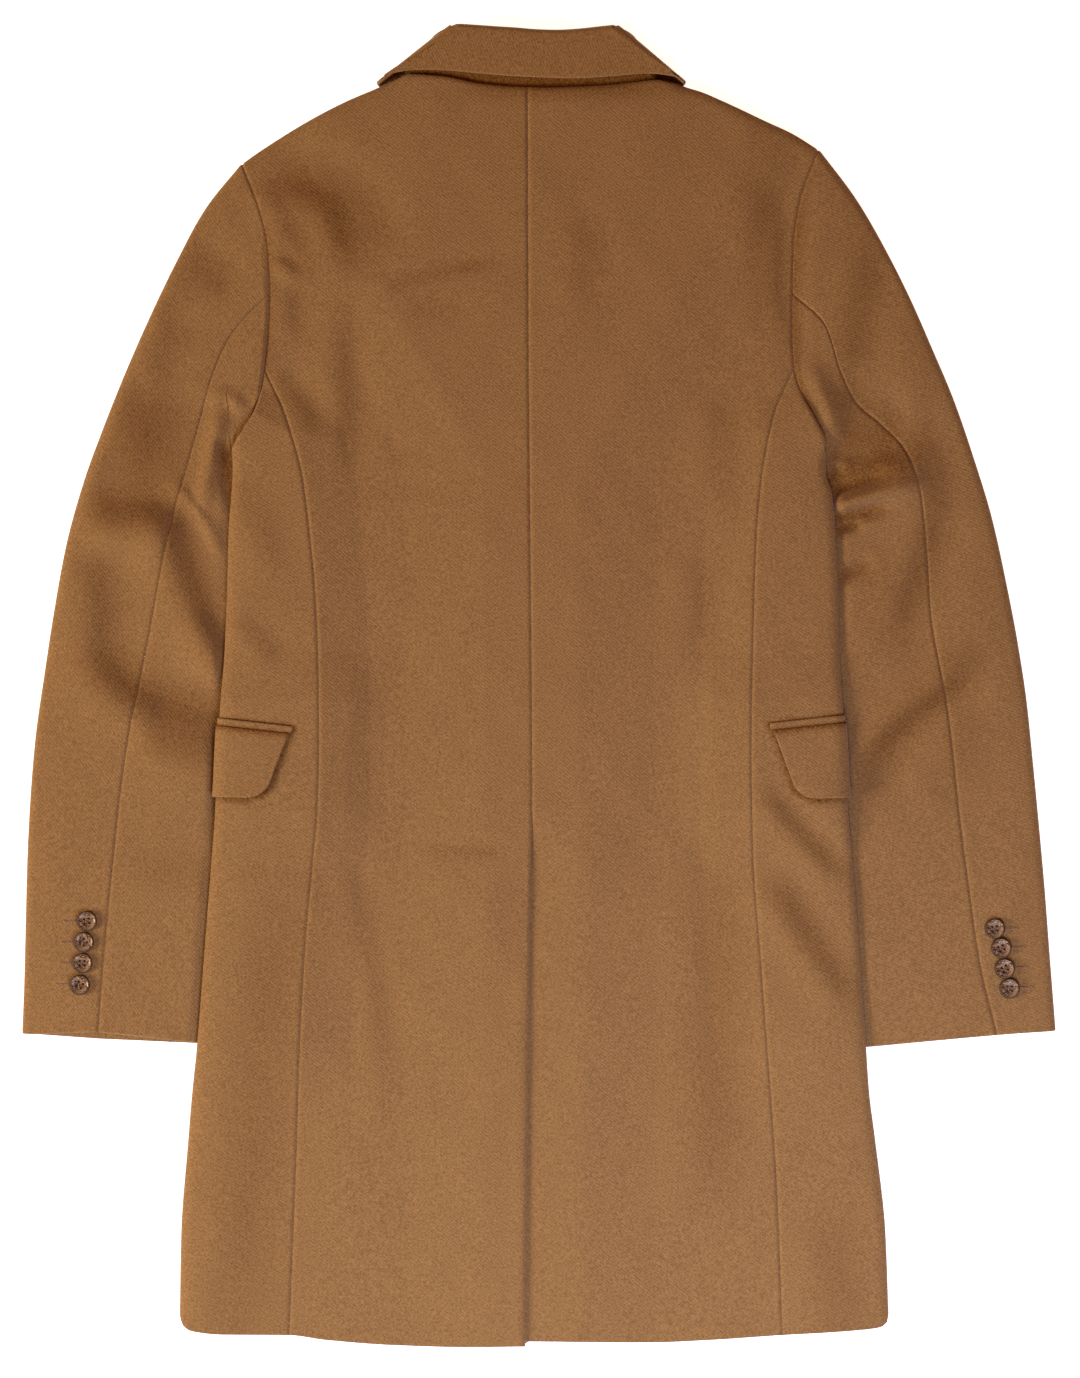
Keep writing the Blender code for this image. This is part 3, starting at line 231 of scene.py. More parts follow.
# Folds in the cloth: each runs through three points and fades towards its ends. One with a
# crest on one side rolls over: its crest lies on the right hand of the way it runs, as seen
# from above, and its trough on the left hand, each a half width off the line. Without one, it
# is a plain ridge (height above 0) or trough (below 0).
Fold = namedtuple("Fold", "x0 down0 x1 down1 x2 down2 half_width height rolls", defaults=(True,))
SLEEVE_FOLDS = (
    # left upper arm
    Fold(-272, 126, -256, 142, -236, 160, 17, 1.4),
    Fold(-279, 165, -289, 198, -298, 236, 13, 1.4),
    Fold(-262, 100, -280, 150, -296, 196, 20, 1.0),
    # left armpit: a ridge that bends over the top, and the hollow under it
    Fold(-263, 332, -253, 282, -244, 236, 8, 5.0, False),
    Fold(-256, 250, -242, 238, -224, 256, 6, 3.0, False),
    Fold(-245, 267, -240.5, 295, -235, 327, 5, -7.0, False),
    Fold(-288, 302, -262, 328, -244, 368, 6, 2.6, False),
    # left arm, round the basin above the elbow
    Fold(-298, 222, -302, 275, -298, 330, 32, 3.2),
    Fold(-356, 316, -314, 326, -276, 322, 17, 4.0),
    Fold(-296, 300, -271, 372, -222, 482, 15, 2.9),
    Fold(-264, 394, -247, 426, -224, 462, 11, 2.0),
    Fold(-346, 350, -338, 396, -334, 444, 16, 2.0),
    Fold(-345, 409, -307, 468, -206, 486, 18, 3.7),
    Fold(-310, 490, -272, 504, -218, 513, 20, 2.9),
    Fold(-324, 606, -280, 602, -236, 610, 16, 0.8),
    # right upper arm
    Fold(262, 110, 246, 172, 238, 234, 15, 1.6),
    Fold(209, 66, 200, 148, 202, 232, 6, -1.6, False),
    # right armpit: short folds that fan out from the body's side
    Fold(203, 206, 219, 243, 231, 282, 9, 3.6, False),
    Fold(214, 286, 229, 288, 243, 292, 5, 2.6, False),
    Fold(190, 326, 248, 297, 300, 284, 17, 5.6),
    Fold(222, 266, 256, 270, 292, 264, 18, 3.2),
    Fold(184, 341, 244, 317, 304, 303, 5, 3.8, False),
    Fold(188, 323, 236, 308, 276, 293, 5.5, -6.0, False),
    Fold(188, 339, 234, 330, 276, 321, 6, -5.6, False),
    Fold(194, 350, 230, 339, 250, 334, 5, -5.6, False),
    Fold(196, 386, 234, 374, 260, 364, 7, -3.6, False),
    # right arm, round the basin above the elbow
    Fold(218, 222, 250, 248, 284, 262, 13, 1.5),
    Fold(278, 252, 304, 292, 305, 352, 11, 1.4),
    Fold(304, 322, 292, 371, 266, 440, 14, 2.4),
    Fold(264, 344, 262, 390, 250, 446, 20, 1.2),
    # right elbow
    Fold(348, 446, 290, 481, 234, 540, 12, 4.5),
    Fold(352, 490, 320, 520, 300, 560, 21, 0.9),
)
BODY_FOLDS = (
    # left shoulder
    Fold(-216, 66, -165, 92, -145, 158, 17, 4.2),
    Fold(-180, 74, -138, 90, -122, 138, 15, 1.9),
    Fold(-212, 64, -194, 102, -168, 158, 13, 2.0),
    Fold(-209, 60, -183, 52, -160, 49, 3.5, -0.9, False),
    Fold(-183, 60, -162, 60, -144, 62, 3.5, -0.7, False),
    Fold(-206, 129, -194, 136, -184, 145, 6, 1.6),
    Fold(-190, 150, -191, 171, -191, 194, 9, 0.9),
    # left of the back
    Fold(-153, 150, -149, 228, -147, 312, 11, 1.2),
    Fold(-207, 214, -186, 240, -164, 272, 9, 1.0),
    Fold(-237, 398, -214, 426, -197, 441, 10, 1.0),
    Fold(-238, 300, -216, 330, -196, 380, 16, 1.0),
    # middle of the back
    Fold(-120, 154, -72, 138, -18, 129, 7, -1.8, False),
    Fold(-104, 160, -80, 166, -50, 168, 12, -0.8, False),
    Fold(28, 92, 34, 130, 28, 172, 16, 1.0),
    Fold(-120, 282, -98, 281, -74, 283, 6, -0.6, False),
    Fold(-140, 312, -92, 309, -44, 315, 7, -0.4, False),
    # right of the back
    Fold(172, 54, 175, 126, 176, 200, 17, 1.4),
    Fold(189, 86, 185, 144, 191, 212, 7, 0.8),
    Fold(140, 226, 141, 280, 139, 340, 14, 1.1),
    Fold(124, 350, 124, 398, 122, 446, 14, 0.9),
    # skirt
    Fold(-186, 584, -216, 760, -240, 1040, 28, 1.5),
    Fold(-152, 592, -128, 680, -116, 812, 10, 0.8),
    Fold(132, 572, 136, 718, 132, 892, 24, 1.5),
    Fold(-94, 586, -54, 585, -16, 588, 6, -1.3, False),
    Fold(-24, 590, -24, 650, -27, 700, 14, 0.5),
    Fold(-13, 596, -13, 800, -14, 1080, 3.5, 0.3),
    Fold(170, 532, 200, 573, 240, 612, 10, 1.9),
    Fold(174, 602, 206, 650, 248, 716, 13, 2.1),
    Fold(222, 850, 230, 930, 232, 1010, 21, 1.4),
)


def smooth(knots, values, at):
    """Reads a smooth curve through the table's rows, which never swings past them."""
    knots, values = np.asarray(knots, float), np.asarray(values, float)
    steps = np.diff(values) / np.diff(knots)
    both = steps[:-1] * steps[1:]
    total = np.where(both > 0, steps[:-1] + steps[1:], 1)
    slopes = np.r_[steps[0], np.where(both > 0, 2 * both / total, 0), steps[-1]]
    at = np.clip(at, knots[0], knots[-1])
    low = np.clip(np.searchsorted(knots, at, side="right") - 1, 0, len(knots) - 2)
    span = knots[low + 1] - knots[low]
    t = (at - knots[low]) / span
    rise = values[low + 1] - values[low]
    bend = t * (1 - t)
    return (values[low] + t * rise
            + bend * ((1 - t) * (slopes[low] * span - rise) - t * (slopes[low + 1] * span - rise)))


def column(table, name):
    return [getattr(row, name) for row in table]


def ramp(value, start, end):
    """0 before start, 1 after end, straight between."""
    return np.clip((value - start) / (end - start), 0, 1)


def eased(value, start, end):
    share = ramp(value, start, end)
    return share * share * (3 - 2 * share)


def blend(low, high, share):
    return low + (high - low) * share


def spread(length, pitch, start, end):
    """Distances across a piece from edge to edge, closer together next to an edge that is
    sewn or turned."""
    first = EDGE_STEPS if start else EDGE_STEPS[:1]
    last = length - (EDGE_STEPS if end else EDGE_STEPS[:1])[::-1]
    gap = last[0] - first[-1]
    steps = max(int(np.ceil(gap / pitch)), 1)
    return np.concatenate([first, blend(first[-1], last[0], np.arange(1, steps) / steps), last])


# ---------------------------------------------------------------- the coat's lines


def body_line(name, down):
    return smooth(column(BODY, "down"), column(BODY, name), down)


def side_edge(side, down):
    return body_line("edge_" + SIDES[side], down)


def side_seam(side, down):
    return body_line("seam_" + SIDES[side], down)


def from_side_edge(side, x, down):
    """How far in from the body's side edge a point lies."""
    return side * (side_edge(side, down) - x)


def panel_seam(side, down):
    """The seam between a back and its side, from the armhole down."""
    start = armhole_at(side, armhole_lengths(side)[SIDE_SEAM])
    share = ramp(down, start[1], FIRST_LEVEL)
    return np.where(share < 1, blend(start[0], side_seam(side, FIRST_LEVEL), share),
                    side_seam(side, down))


def centre_seam(down):
    return body_line("centre", down)


def top_line(x):
    return smooth(column(TOP_LINE, "x"), column(TOP_LINE, "down"), x)


def hem_line(side, x):
    """Level of a side's hem. What passes the middle keeps to the other side's."""
    left, right = (smooth(column(table, "x"), column(table, "down"), x)
                   for table in (LEFT_HEM, RIGHT_HEM))
    past = x > LEFT_HEM[-1].x if side == LEFT else True
    return np.where(past, right, left)


def front_edge(side, down):
    return MIDDLE + side * smooth(column(FRONT_EDGE, "down"), column(FRONT_EDGE, "out"), down)


def armhole_lengths(side):
    xs, downs = column(ARMHOLE, SIDES[side] + "_x"), column(ARMHOLE, SIDES[side] + "_down")
    return np.cumsum(np.r_[0, np.hypot(np.diff(xs), np.diff(downs))])


def armhole_at(side, distance):
    """(x, down) on the armhole seam, at a distance along it from the shoulder."""
    lengths = armhole_lengths(side)
    return (smooth(lengths, column(ARMHOLE, SIDES[side] + "_x"), distance),
            smooth(lengths, column(ARMHOLE, SIDES[side] + "_down"), distance))


def armhole_distance(side, station):
    """Distance of a station along the armhole seam, by the turn's angle over the shoulder."""
    even = np.interp(station, np.arange(len(ARMHOLE)), armhole_lengths(side))
    turning = ROLL_WIDTH * (1 - np.cos(np.radians(STATION_TURN * np.minimum(station, OUTER_TURN))))
    return np.where(np.asarray(station) < OUTER_TURN, turning, even)


# ---------------------------------------------------------------- creases and heights

FOLD_STEPS = 10
DEEPEST = 3.9           # that a fold goes before the tube's two faces meet
PAINTED_FOLD_SHADE, DEEP_FOLD = 0.15, 2.8    # painted shade in the folds, and the fold deep enough for all of it
MOST_FOLD_SHADE = 2.3      # times that shade, at the deepest folds
FOLD_START, FOLD_FADE = -0.03, 0.30     # of its length, over which a fold fades in
ROLLED_REACH, PLAIN_REACH = 3.2, 2.4    # half widths past which a fold is left out
# Slow waves that leave no stretch of cloth quite flat: lengths across and down, and height
SlowWave = namedtuple("SlowWave", "across down phase height")
SLOW_WAVES = (
    SlowWave(83, 211, 0.4, 0.16), SlowWave(-131, 97, 2.1, 0.14), SlowWave(57, 149, 4.0, 0.10),
    SlowWave(44, -71, 1.3, 0.06), SlowWave(-38, 53, 5.2, 0.05), SlowWave(29, 87, 3.3, 0.03),
)


def fold_line(fold):
    share = np.linspace(0, 1, FOLD_STEPS + 1)[:, None]
    start, middle, end = np.array(fold[:6]).reshape(3, 2)
    pull = 2 * middle - (start + end) / 2
    return (1 - share) ** 2 * start + 2 * share * (1 - share) * pull + share**2 * end


def near_fold(fold, x, down):
    """Per point: distance off the fold's line, on which hand, and how full the fold is there."""
    line = fold_line(fold)
    nearest = np.full(x.shape, np.inf)
    hand, full = np.zeros(x.shape), np.zeros(x.shape)
    for step in range(FOLD_STEPS):
        run, drop = line[step + 1] - line[step]
        off_x, off_down = x - line[step, 0], down - line[step, 1]
        along = np.clip((off_x * run + off_down * drop) / (run * run + drop * drop), 0, 1)
        aside = np.hypot(off_x - along * run, off_down - along * drop)
        closer = aside < nearest
        nearest = np.where(closer, aside, nearest)
        side = (off_down * run - off_x * drop) / np.hypot(run, drop)
        share = (step + along) / FOLD_STEPS
        fade = eased(share, FOLD_START, FOLD_FADE) * eased(1 - share, FOLD_START, FOLD_FADE)
        hand, full = np.where(closer, side, hand), np.where(closer, fade, full)
    return nearest, hand, full


def by_fold(fold, x, down):
    """Which points the fold reaches."""
    line = fold_line(fold)
    reach = (ROLLED_REACH if fold.rolls else PLAIN_REACH) * fold.half_width
    low, high = line.min(axis=0) - reach, line.max(axis=0) + reach
    return (x > low[0]) & (x < high[0]) & (down > low[1]) & (down < high[1])


def fold_height(folds, x, down):
    """The folds that roll add up. Of plain ridges and troughs, the highest and deepest count."""
    x, down = np.broadcast_arrays(x, down)
    height, ridge, trough = np.zeros(x.shape), np.zeros(x.shape), np.zeros(x.shape)
    for fold in folds:
        near = by_fold(fold, x, down)
        if not near.any():
            continue
        distance, hand, full = near_fold(fold, x[near], down[near])
        if fold.rolls:      # 0.5 makes the crest as high as the fold's height
            share = hand / fold.half_width * np.exp(0.5 - (distance / fold.half_width) ** 2 / 2)
            height[near] += fold.height * full * share
            continue
        plain = fold.height * full * np.exp(-((distance / fold.half_width) ** 2))
        if fold.height > 0:
            ridge[near] = np.maximum(ridge[near], plain)
        else:
            trough[near] = np.minimum(trough[near], plain)
    waves = sum(wave.height * np.sin(2 * np.pi * (x / wave.across + down / wave.down) + wave.phase)
                for wave in SLOW_WAVES)
    height = height + ridge + trough + waves
    return np.where(height < 0, DEEPEST * np.tanh(height / DEEPEST), height)


def fold_painted_shade(folds, x, down):
    """Painted shade on the folds' steep sides and in their hollows, as a share taken off the
    cloth's colour.
    """
    painted_dark = np.zeros(x.shape)
    for fold in folds:
        near = by_fold(fold, x, down)
        if (fold.rolls or fold.height < 0) and near.any():
            distance, _, full = near_fold(fold, x[near], down[near])
            share = full * np.exp(-((distance / fold.half_width) ** 2))
            share = share * min(abs(fold.height) / DEEP_FOLD, MOST_FOLD_SHADE)
            painted_dark[near] = np.maximum(painted_dark[near], share)
    return PAINTED_FOLD_SHADE * painted_dark


def strip_zone(x, down):
    """1 over the buttoned middle and the lapels, falling to 0 beside them."""
    half, fade = (np.interp(down, [LAPEL_LEVEL, BREAK_LEVEL], ends)
                  for ends in (STRIP_HALVES, STRIP_FADES))
    return 1 - ramp(np.abs(x - MIDDLE), half, half + fade)


def side_zone(side, x, down):
    """1 where the body's side lies over the sleeve, falling to 0 across the front."""
    seam, edge = np.abs(side_seam(side, down)), np.abs(side_edge(side, down))
    reach = side * x
    share = ramp(reach, seam, edge)
    start = ramp(down + SIDE_SLANT * share, *SIDE_LEVELS)
    stop = 1 - ramp(down, CUFF_LEVEL, SKIRT_FLAT_LEVEL)
    return start * stop * (1 - ramp(seam - reach, 0, FRONT_RAMP))


def flap_zone(side, x, down):
    """1 over the pocket flap and round it, falling to 0 further off."""
    inset = from_side_edge(side, x, down)
    return (ramp(down, *FLAP_LEVELS[:2]) * (1 - ramp(down, *FLAP_LEVELS[2:]))
            * (1 - ramp(inset, FLAP_REACH, FLAP_REACH + FLAP_FADE)))


def side_lift(side, x, down):
    return SIDE_LIFT * side_zone(side, x, down) + FLAP_LIFT * flap_zone(side, x, down)


def beside_edge(inset):
    """1 at a flat tube's outline, easing off to 0 further in."""
    return (1 - ramp(inset, 0, EDGE_FALL_WIDTH)) ** 2


def body_height(side, layer, x, down):
    """Height of the body's outer face, before its outline turns in."""
    strip = STRIP_LIFT * strip_zone(x, down)
    if layer == TOP:
        lift = np.maximum(strip * STRIP_SHOWN, side_lift(side, x, down))
        edge_fall = BODY_EDGE_FALL[side] * beside_edge(from_side_edge(side, x, down))
        edge_fall = edge_fall * ramp(down, UNDERARM_LEVEL, UNDERARM_LEVEL + UNDERARM_FADE)
        return lift + FLAT_HEIGHT + fold_height(BODY_FOLDS, x, down) - edge_fall
    strip = strip * (1 - ramp(down, LAST_BUTTON_LEVEL, FRONT_FLAT_LEVEL))
    return np.maximum(strip, side_lift(side, x, down))


def turned(side, x, down, angle):
    """Heights of the body near its outline, where the cloth turns from the top (angle 90)
    over the outline (0) to the underside (-90)."""
    over, under = body_height(side, TOP, x, down), body_height(side, UNDER, x, down)
    half = (over - under) / 2
    return under + half + half * np.sin(np.radians(angle))


def place(x, down, up):
    """Millimetres on the coat to metres in the scene."""
    x, down, up = np.broadcast_arrays(x, down, up)
    return np.stack([(x + CENTRE_X) * MM, (NECK_Y - down) * MM, up * MM], axis=-1)


def place_vector(x, down, up):
    x, down, up = np.broadcast_arrays(x, down, up)
    return np.stack([x, -down, up], axis=-1) * MM


def wall(points, out_x, out_down, angle, thickness):
    """The cloth's other face: each point moved in, against the way its outer face looks."""
    flat, steep = np.cos(np.radians(angle)), np.sin(np.radians(angle))
    return points - place_vector(out_x * flat, out_down * flat, steep) * thickness


# ---------------------------------------------------------------- pressed nap

JET_TOP = {LEFT: 485.0, RIGHT: 482.6}         # level at the side's edge
JET_DEPTH, JET_REAR, FLAP_REAR = 5.6, 57.0, 54.7      # rear ends, in from the side's edge
FLAP_DEPTH = {LEFT: 55.0, RIGHT: 58.0}
POCKET_SLANT, POCKET_REACH = 0.11, FLAP_REACH - 16
FLAP_SLOPE, FLAP_CORNER, FLAP_STAND_OFF = 17.0, 13.0, 2.4
# Painted shade and shadow on the cloth under and beside what lies on it, and how far each reaches
FLAP_PAINTED_SHADOW, FLAP_MARK_WIDTH, FLAP_MARK_STOP = 0.36, 3.0, 2.2   # STOP: sooner over the jet
JET_PAINTED_SHADE, JET_MARK_WIDTH, JET_MARK_RISE = 0.42, 3.8, 1.2      # below and above the jet's edge
NECK_PAINTED_SHADOW, NECK_MARK_REACH = 0.27, 9.0
NECK_MARK_X, NECK_MARK_HALF = 22.0, 78.0      # its middle and half its width
ARMHOLE_PAINTED_SHADE, ARMHOLE_MARK_WIDTH = {LEFT: 0.22, RIGHT: 0.28}, {LEFT: 3.6, RIGHT: 5.0}
ARMHOLE_MARK_LEVELS = (50.0, 110.0, 236.0, 262.0)     # between which it comes and goes
ARMHOLE_SAMPLES = 60
COLLAR_PAINTED_SHADE, STAND_PAINTED_SHADOW = 0.06, 0.42          # painted shade on the fall, and painted shadow on the stand under it
STAND_HALF_WIDTH, STAND_LEVELS = 112.0, (-22.0, 4.0)


def flap_rear(side, share):
    """How far in from the side's edge a flap's rear end lies, down the flap."""
    corner = ramp(share, 1 - FLAP_CORNER / FLAP_DEPTH[side], 1)
    return FLAP_REAR - FLAP_SLOPE * share - FLAP_CORNER * (1 - np.sqrt(1 - corner**2))


def below_jet(side, x, down):
    """How far a point lies below a pocket jet's top edge, and in from the side's edge."""
    inset = from_side_edge(side, x, down)
    return down - POCKET_SLANT * inset - JET_TOP[side], inset


def flap_painted_shadow(side, x, down):
    """Painted shadow round a pocket's flap and jet: 1 on the cloth under them, fading out round
    them.
    """
    level, inset = below_jet(side, x, down)
    share = np.clip((level - JET_DEPTH) / FLAP_DEPTH[side], 0, 1)
    rear = np.where(level < JET_DEPTH, JET_REAR, flap_rear(side, share))
    past = (np.maximum(level - JET_DEPTH - FLAP_DEPTH[side], 0)
            + FLAP_MARK_STOP * np.maximum(-level, 0))
    beyond = np.hypot(np.maximum(inset - rear, 0), past)
    return np.exp(-((beyond / FLAP_MARK_WIDTH) ** 2))


def jet_painted_shade(side, x, down):
    """Painted shade in the fold where a flap comes out from its jet: 1 there, fading out along
    both.
    """
    level, _ = below_jet(side, x, down)
    return np.exp(-((np.maximum(level - JET_DEPTH, 0) / JET_MARK_WIDTH) ** 2)
                  - (np.maximum(JET_DEPTH - level, 0) / JET_MARK_RISE) ** 2)


def armhole_painted_shade(side, x, down):
    """Painted shade along the upper part of the armhole seam, where the sleeve's head leans on it:
    1 there, fading out beside it.
    """
    at_x, at_down = armhole_at(side, np.linspace(0, armhole_lengths(side)[-2],
                                                   ARMHOLE_SAMPLES)[:, None])
    beside = np.hypot(x - at_x, down - at_down).min(axis=0)
    along = ramp(down, *ARMHOLE_MARK_LEVELS[:2]) * (1 - ramp(down, *ARMHOLE_MARK_LEVELS[2:]))
    return along * np.exp(-((beside / ARMHOLE_MARK_WIDTH[side]) ** 2))


def neck_painted_shadow(x, down):
    """Painted shadow of the collar's fall: 1 along the middle of the neck seam, under the fall,
    fading out round it.
    """
    return np.exp(-(np.maximum(down, 0) / NECK_MARK_REACH) ** 2
                  - ((x - NECK_MARK_X) / NECK_MARK_HALF) ** 4)


FOLDS_OF = {"back": BODY_FOLDS, "side": BODY_FOLDS, "pocket": (), "turned_collar": (),
            "topsleeve": SLEEVE_FOLDS, "undersleeve": SLEEVE_FOLDS}


def painted_shade(name, points):
    """How much shade is painted on a piece at each point, as a share taken off its colour, or
    None where that is the same all over it."""
    kind = next((kind for kind in FOLDS_OF if name.startswith(kind)), None)
    if kind is None:
        return None
    x, down = points[:, 0] / MM - CENTRE_X, NECK_Y - points[:, 1] / MM
    side = np.sign(x.mean())
    if kind == "pocket":
        return JET_PAINTED_SHADE * jet_painted_shade(side, x, down)
    if kind == "turned_collar":
        # Painted shadow on the stand under the fall, a little painted shade on the rest of the
        # collar
        under_fall = ((np.abs(x) < STAND_HALF_WIDTH) & (down > STAND_LEVELS[0])
                      & (down < STAND_LEVELS[1])
                      & (points[:, 2] / MM < FALL_EDGE_UP - COLLAR_WALL))
        return np.where(under_fall, STAND_PAINTED_SHADOW, COLLAR_PAINTED_SHADE)
    marks = [fold_painted_shade(FOLDS_OF[kind], x, down)]
    if kind == "side":
        marks.append(FLAP_PAINTED_SHADOW * flap_painted_shadow(side, x, down))
    if kind == "back":
        marks.append(NECK_PAINTED_SHADOW * neck_painted_shadow(x, down))
    if kind in ({"back"} if side == LEFT else {"topsleeve", "undersleeve"}):
        marks.append(ARMHOLE_PAINTED_SHADE[side] * armhole_painted_shade(side, x, down))
    return np.maximum.reduce(marks)


# ---------------------------------------------------------------- making a wall of cloth

EDGE_LINES = {"first_row": (0, 1), "last_row": (0, -1),
              "first_column": (1, 1), "last_column": (1, -1)}


def from_edge(grid, edge):
    """The grid seen with this edge as its first line."""
    axis, way = EDGE_LINES[edge]
    return np.moveaxis(grid, axis, 0)[::way]


def pulled_in(grid, edges, gap=SEAM_GAP):
    """Moves each edge that ends at a seam in by half the gap, square to the seam."""
    grid = grid.copy()
    for edge in edges:
        lines = from_edge(grid, edge)
        step = lines[1] - lines[0]
        seam = np.gradient(lines[0], axis=0)
        seam /= np.linalg.norm(seam, axis=-1, keepdims=True)
        step = step - seam * (step * seam).sum(axis=-1, keepdims=True)
        step /= np.linalg.norm(step, axis=-1, keepdims=True)
        lines[0] += step * gap * MM / 2
    return grid


def dressed_edges(outer, inner, edges):
    """A sewn edge dives into its seam's groove, and a free edge is rounded."""
    outer, inner = outer.copy(), inner.copy()
    through = inner - outer
    for edge, kind in edges.items():
        lines = from_edge(outer, edge)
        steps = np.linalg.norm(np.diff(lines, axis=0), axis=-1) / MM
        distance = np.concatenate([np.zeros((1, steps.shape[1])), np.cumsum(steps, axis=0)])
        if kind == SEWN:
            dive = SEAM_TUCK * (1 - ramp(distance, 0, SEAM_SPAN)) ** 2
            lines += from_edge(through, edge) * dive[..., None]
        else:
            short = 1 - ramp(distance, 0, EDGE_ROUND)
            turn = (EDGE_TUCK * (1 - np.sqrt(1 - short**2)))[..., None] * from_edge(through, edge)
            lines += turn
            from_edge(inner, edge)[...] -= turn
    return outer, inner


def new_piece(name, points, faces, finish):
    """A closed mesh of four-cornered faces that look outward."""
    corners = points[faces]
    halves = [np.einsum("ij,ij->i", corners[:, 0], np.cross(corners[:, a], corners[:, b]))
              for a, b in ((1, 2), (2, 3))]
    if sum(halves).sum() < 0:
        faces = faces[:, ::-1]
    used, faces = np.unique(faces, return_inverse=True)
    points, faces = points[used], faces.reshape(-1, 4)
    mesh = bpy.data.meshes.new(name)
    mesh.vertices.add(len(points))
    mesh.vertices.foreach_set("co", points.ravel())
    mesh.loops.add(faces.size)
    mesh.loops.foreach_set("vertex_index", faces.ravel())
    mesh.polygons.add(len(faces))
    mesh.polygons.foreach_set("loop_start", np.arange(0, faces.size, 4))
    mesh.update(calc_edges=True)
    mesh.materials.append(finish)
    mesh.shade_smooth()
    # Painted shade, kept on the mesh to darken the cloth's colour
    painted_dark = painted_shade(name, points)
    if painted_dark is not None:
        mesh.attributes.new("painted_shade", "FLOAT", "POINT").data.foreach_set("value", painted_dark)
    made = bpy.data.objects.new(name, mesh)
    bpy.context.collection.objects.link(made)
    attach(made, "root")
    return made


def grid_faces(outer, present=None):
    """Four-cornered faces of one closed wall whose outer and inner points are two grids of
    this shape, one after the other, with a strip round the open edges."""
    rows, columns = outer.shape[:2]
    index = np.arange(rows * columns).reshape(rows, columns)
    cells = np.stack([index[:-1, :-1], index[1:, :-1], index[1:, 1:], index[:-1, 1:]], axis=-1)
    cells = cells.reshape(-1, 4) if present is None else cells[present]
    other = rows * columns
    starts, ends = cells.ravel(), np.roll(cells, -1, axis=1).ravel()
    alone = ~np.isin(starts * other + ends, ends * other + starts)
    a, b = starts[alone], ends[alone]
    rim = np.stack([b, a, a + other, b + other], axis=1)
    return np.concatenate([cells, cells[:, ::-1] + other, rim])


def cloth(name, outer, inner, edges, finish, present=None):
    sewn = [edge for edge, kind in edges.items() if kind == SEWN]
    outer, inner = pulled_in(outer, sewn), pulled_in(inner, sewn, -SEAM_LAP)
    outer, inner = dressed_edges(outer, inner, edges)
    points = np.concatenate([outer.reshape(-1, 3), inner.reshape(-1, 3)])
    return new_piece(name, points, grid_faces(outer, present), finish)


# ---------------------------------------------------------------- the body's panels


def shoulder_normal(side):
    """Which way the shoulder line faces, in x and down."""
    return side * SHOULDER_OUT, SHOULDER_UP


def panel_rows(side, pitch):
    """x, level and turn of each row at a panel's outer edge: down the armhole, then down the
    seam to the hem."""
    turn = ROLL_WIDTH * (1 - np.cos(np.radians(TURN_ANGLES)))
    seam_start = armhole_lengths(side)[SIDE_SEAM]
    distances = np.r_[turn[:-1], turn[-1] + spread(seam_start - turn[-1], pitch, False, False)]
    x, down = armhole_at(side, distances)
    levels = down[-1] + spread(HEM_LEVEL - down[-1], pitch, False, True)[1:]
    rows = np.r_[down, levels]
    angles = np.full(len(rows), 90.0)
    angles[:len(TURN_ANGLES)] = TURN_ANGLES
    return np.r_[x, panel_seam(side, levels)], rows, angles


def bend_to_hem(side, x, down):
    share = ramp(down, HEM_CURVE_LEVEL, HEM_LEVEL)
    return down + (hem_line(side, x) - HEM_LEVEL) * share


def upper_panel(side, layer, inner_line, shares, pitch, lower=None):
    """Outer and inner grids of a back or a front: rows from the shoulder to the hem, columns
    from the centre or the front edge (share 0) to the armhole and side seam (share 1)."""
    outer_x, rows, angles = panel_rows(side, pitch)
    start = inner_line(top_line(MIDDLE))
    tops = top_line(blend(start, outer_x[0], shares))
    tops = top_line(blend(inner_line(tops[0]), outer_x[0], shares))
    share = ramp(rows, rows[0], STRAIGHT_LEVEL)[:, None]
    down = rows[:, None] + (tops - rows[0])[None, :] * (1 - share)
    x = blend(inner_line(down[:, :1]), outer_x[:, None], shares[None, :])
    down = bend_to_hem(side, x, down)
    shoulder = ramp(np.abs(x[0] - MIDDLE), NECK_HALF_WIDTH, SHOULDER_START)[None, :]
    angle = 90 - (90 - angles[:, None]) * shoulder
    up = turned(side, x, down, layer * angle)
    if lower is not None:
        up = up - lower(x, down)
    outer = place(x, down, up)
    return outer, wall(outer, *shoulder_normal(side), layer * angle, WALL)


def vent_drop(x, down):
    """How far the right back lies below the left one beside the vent."""
    aside = x - centre_seam(down)
    return (VENT_DROP * ramp(down, VENT_SEAM_END, VENT_LEVEL)
            * (1 - ramp(aside, 1, VENT_FALL_WIDTH)))


BACK_WIDTH, FRONT_WIDTH, LAP_WIDTH = 200.0, 200.0, 40.0    # to space the columns by


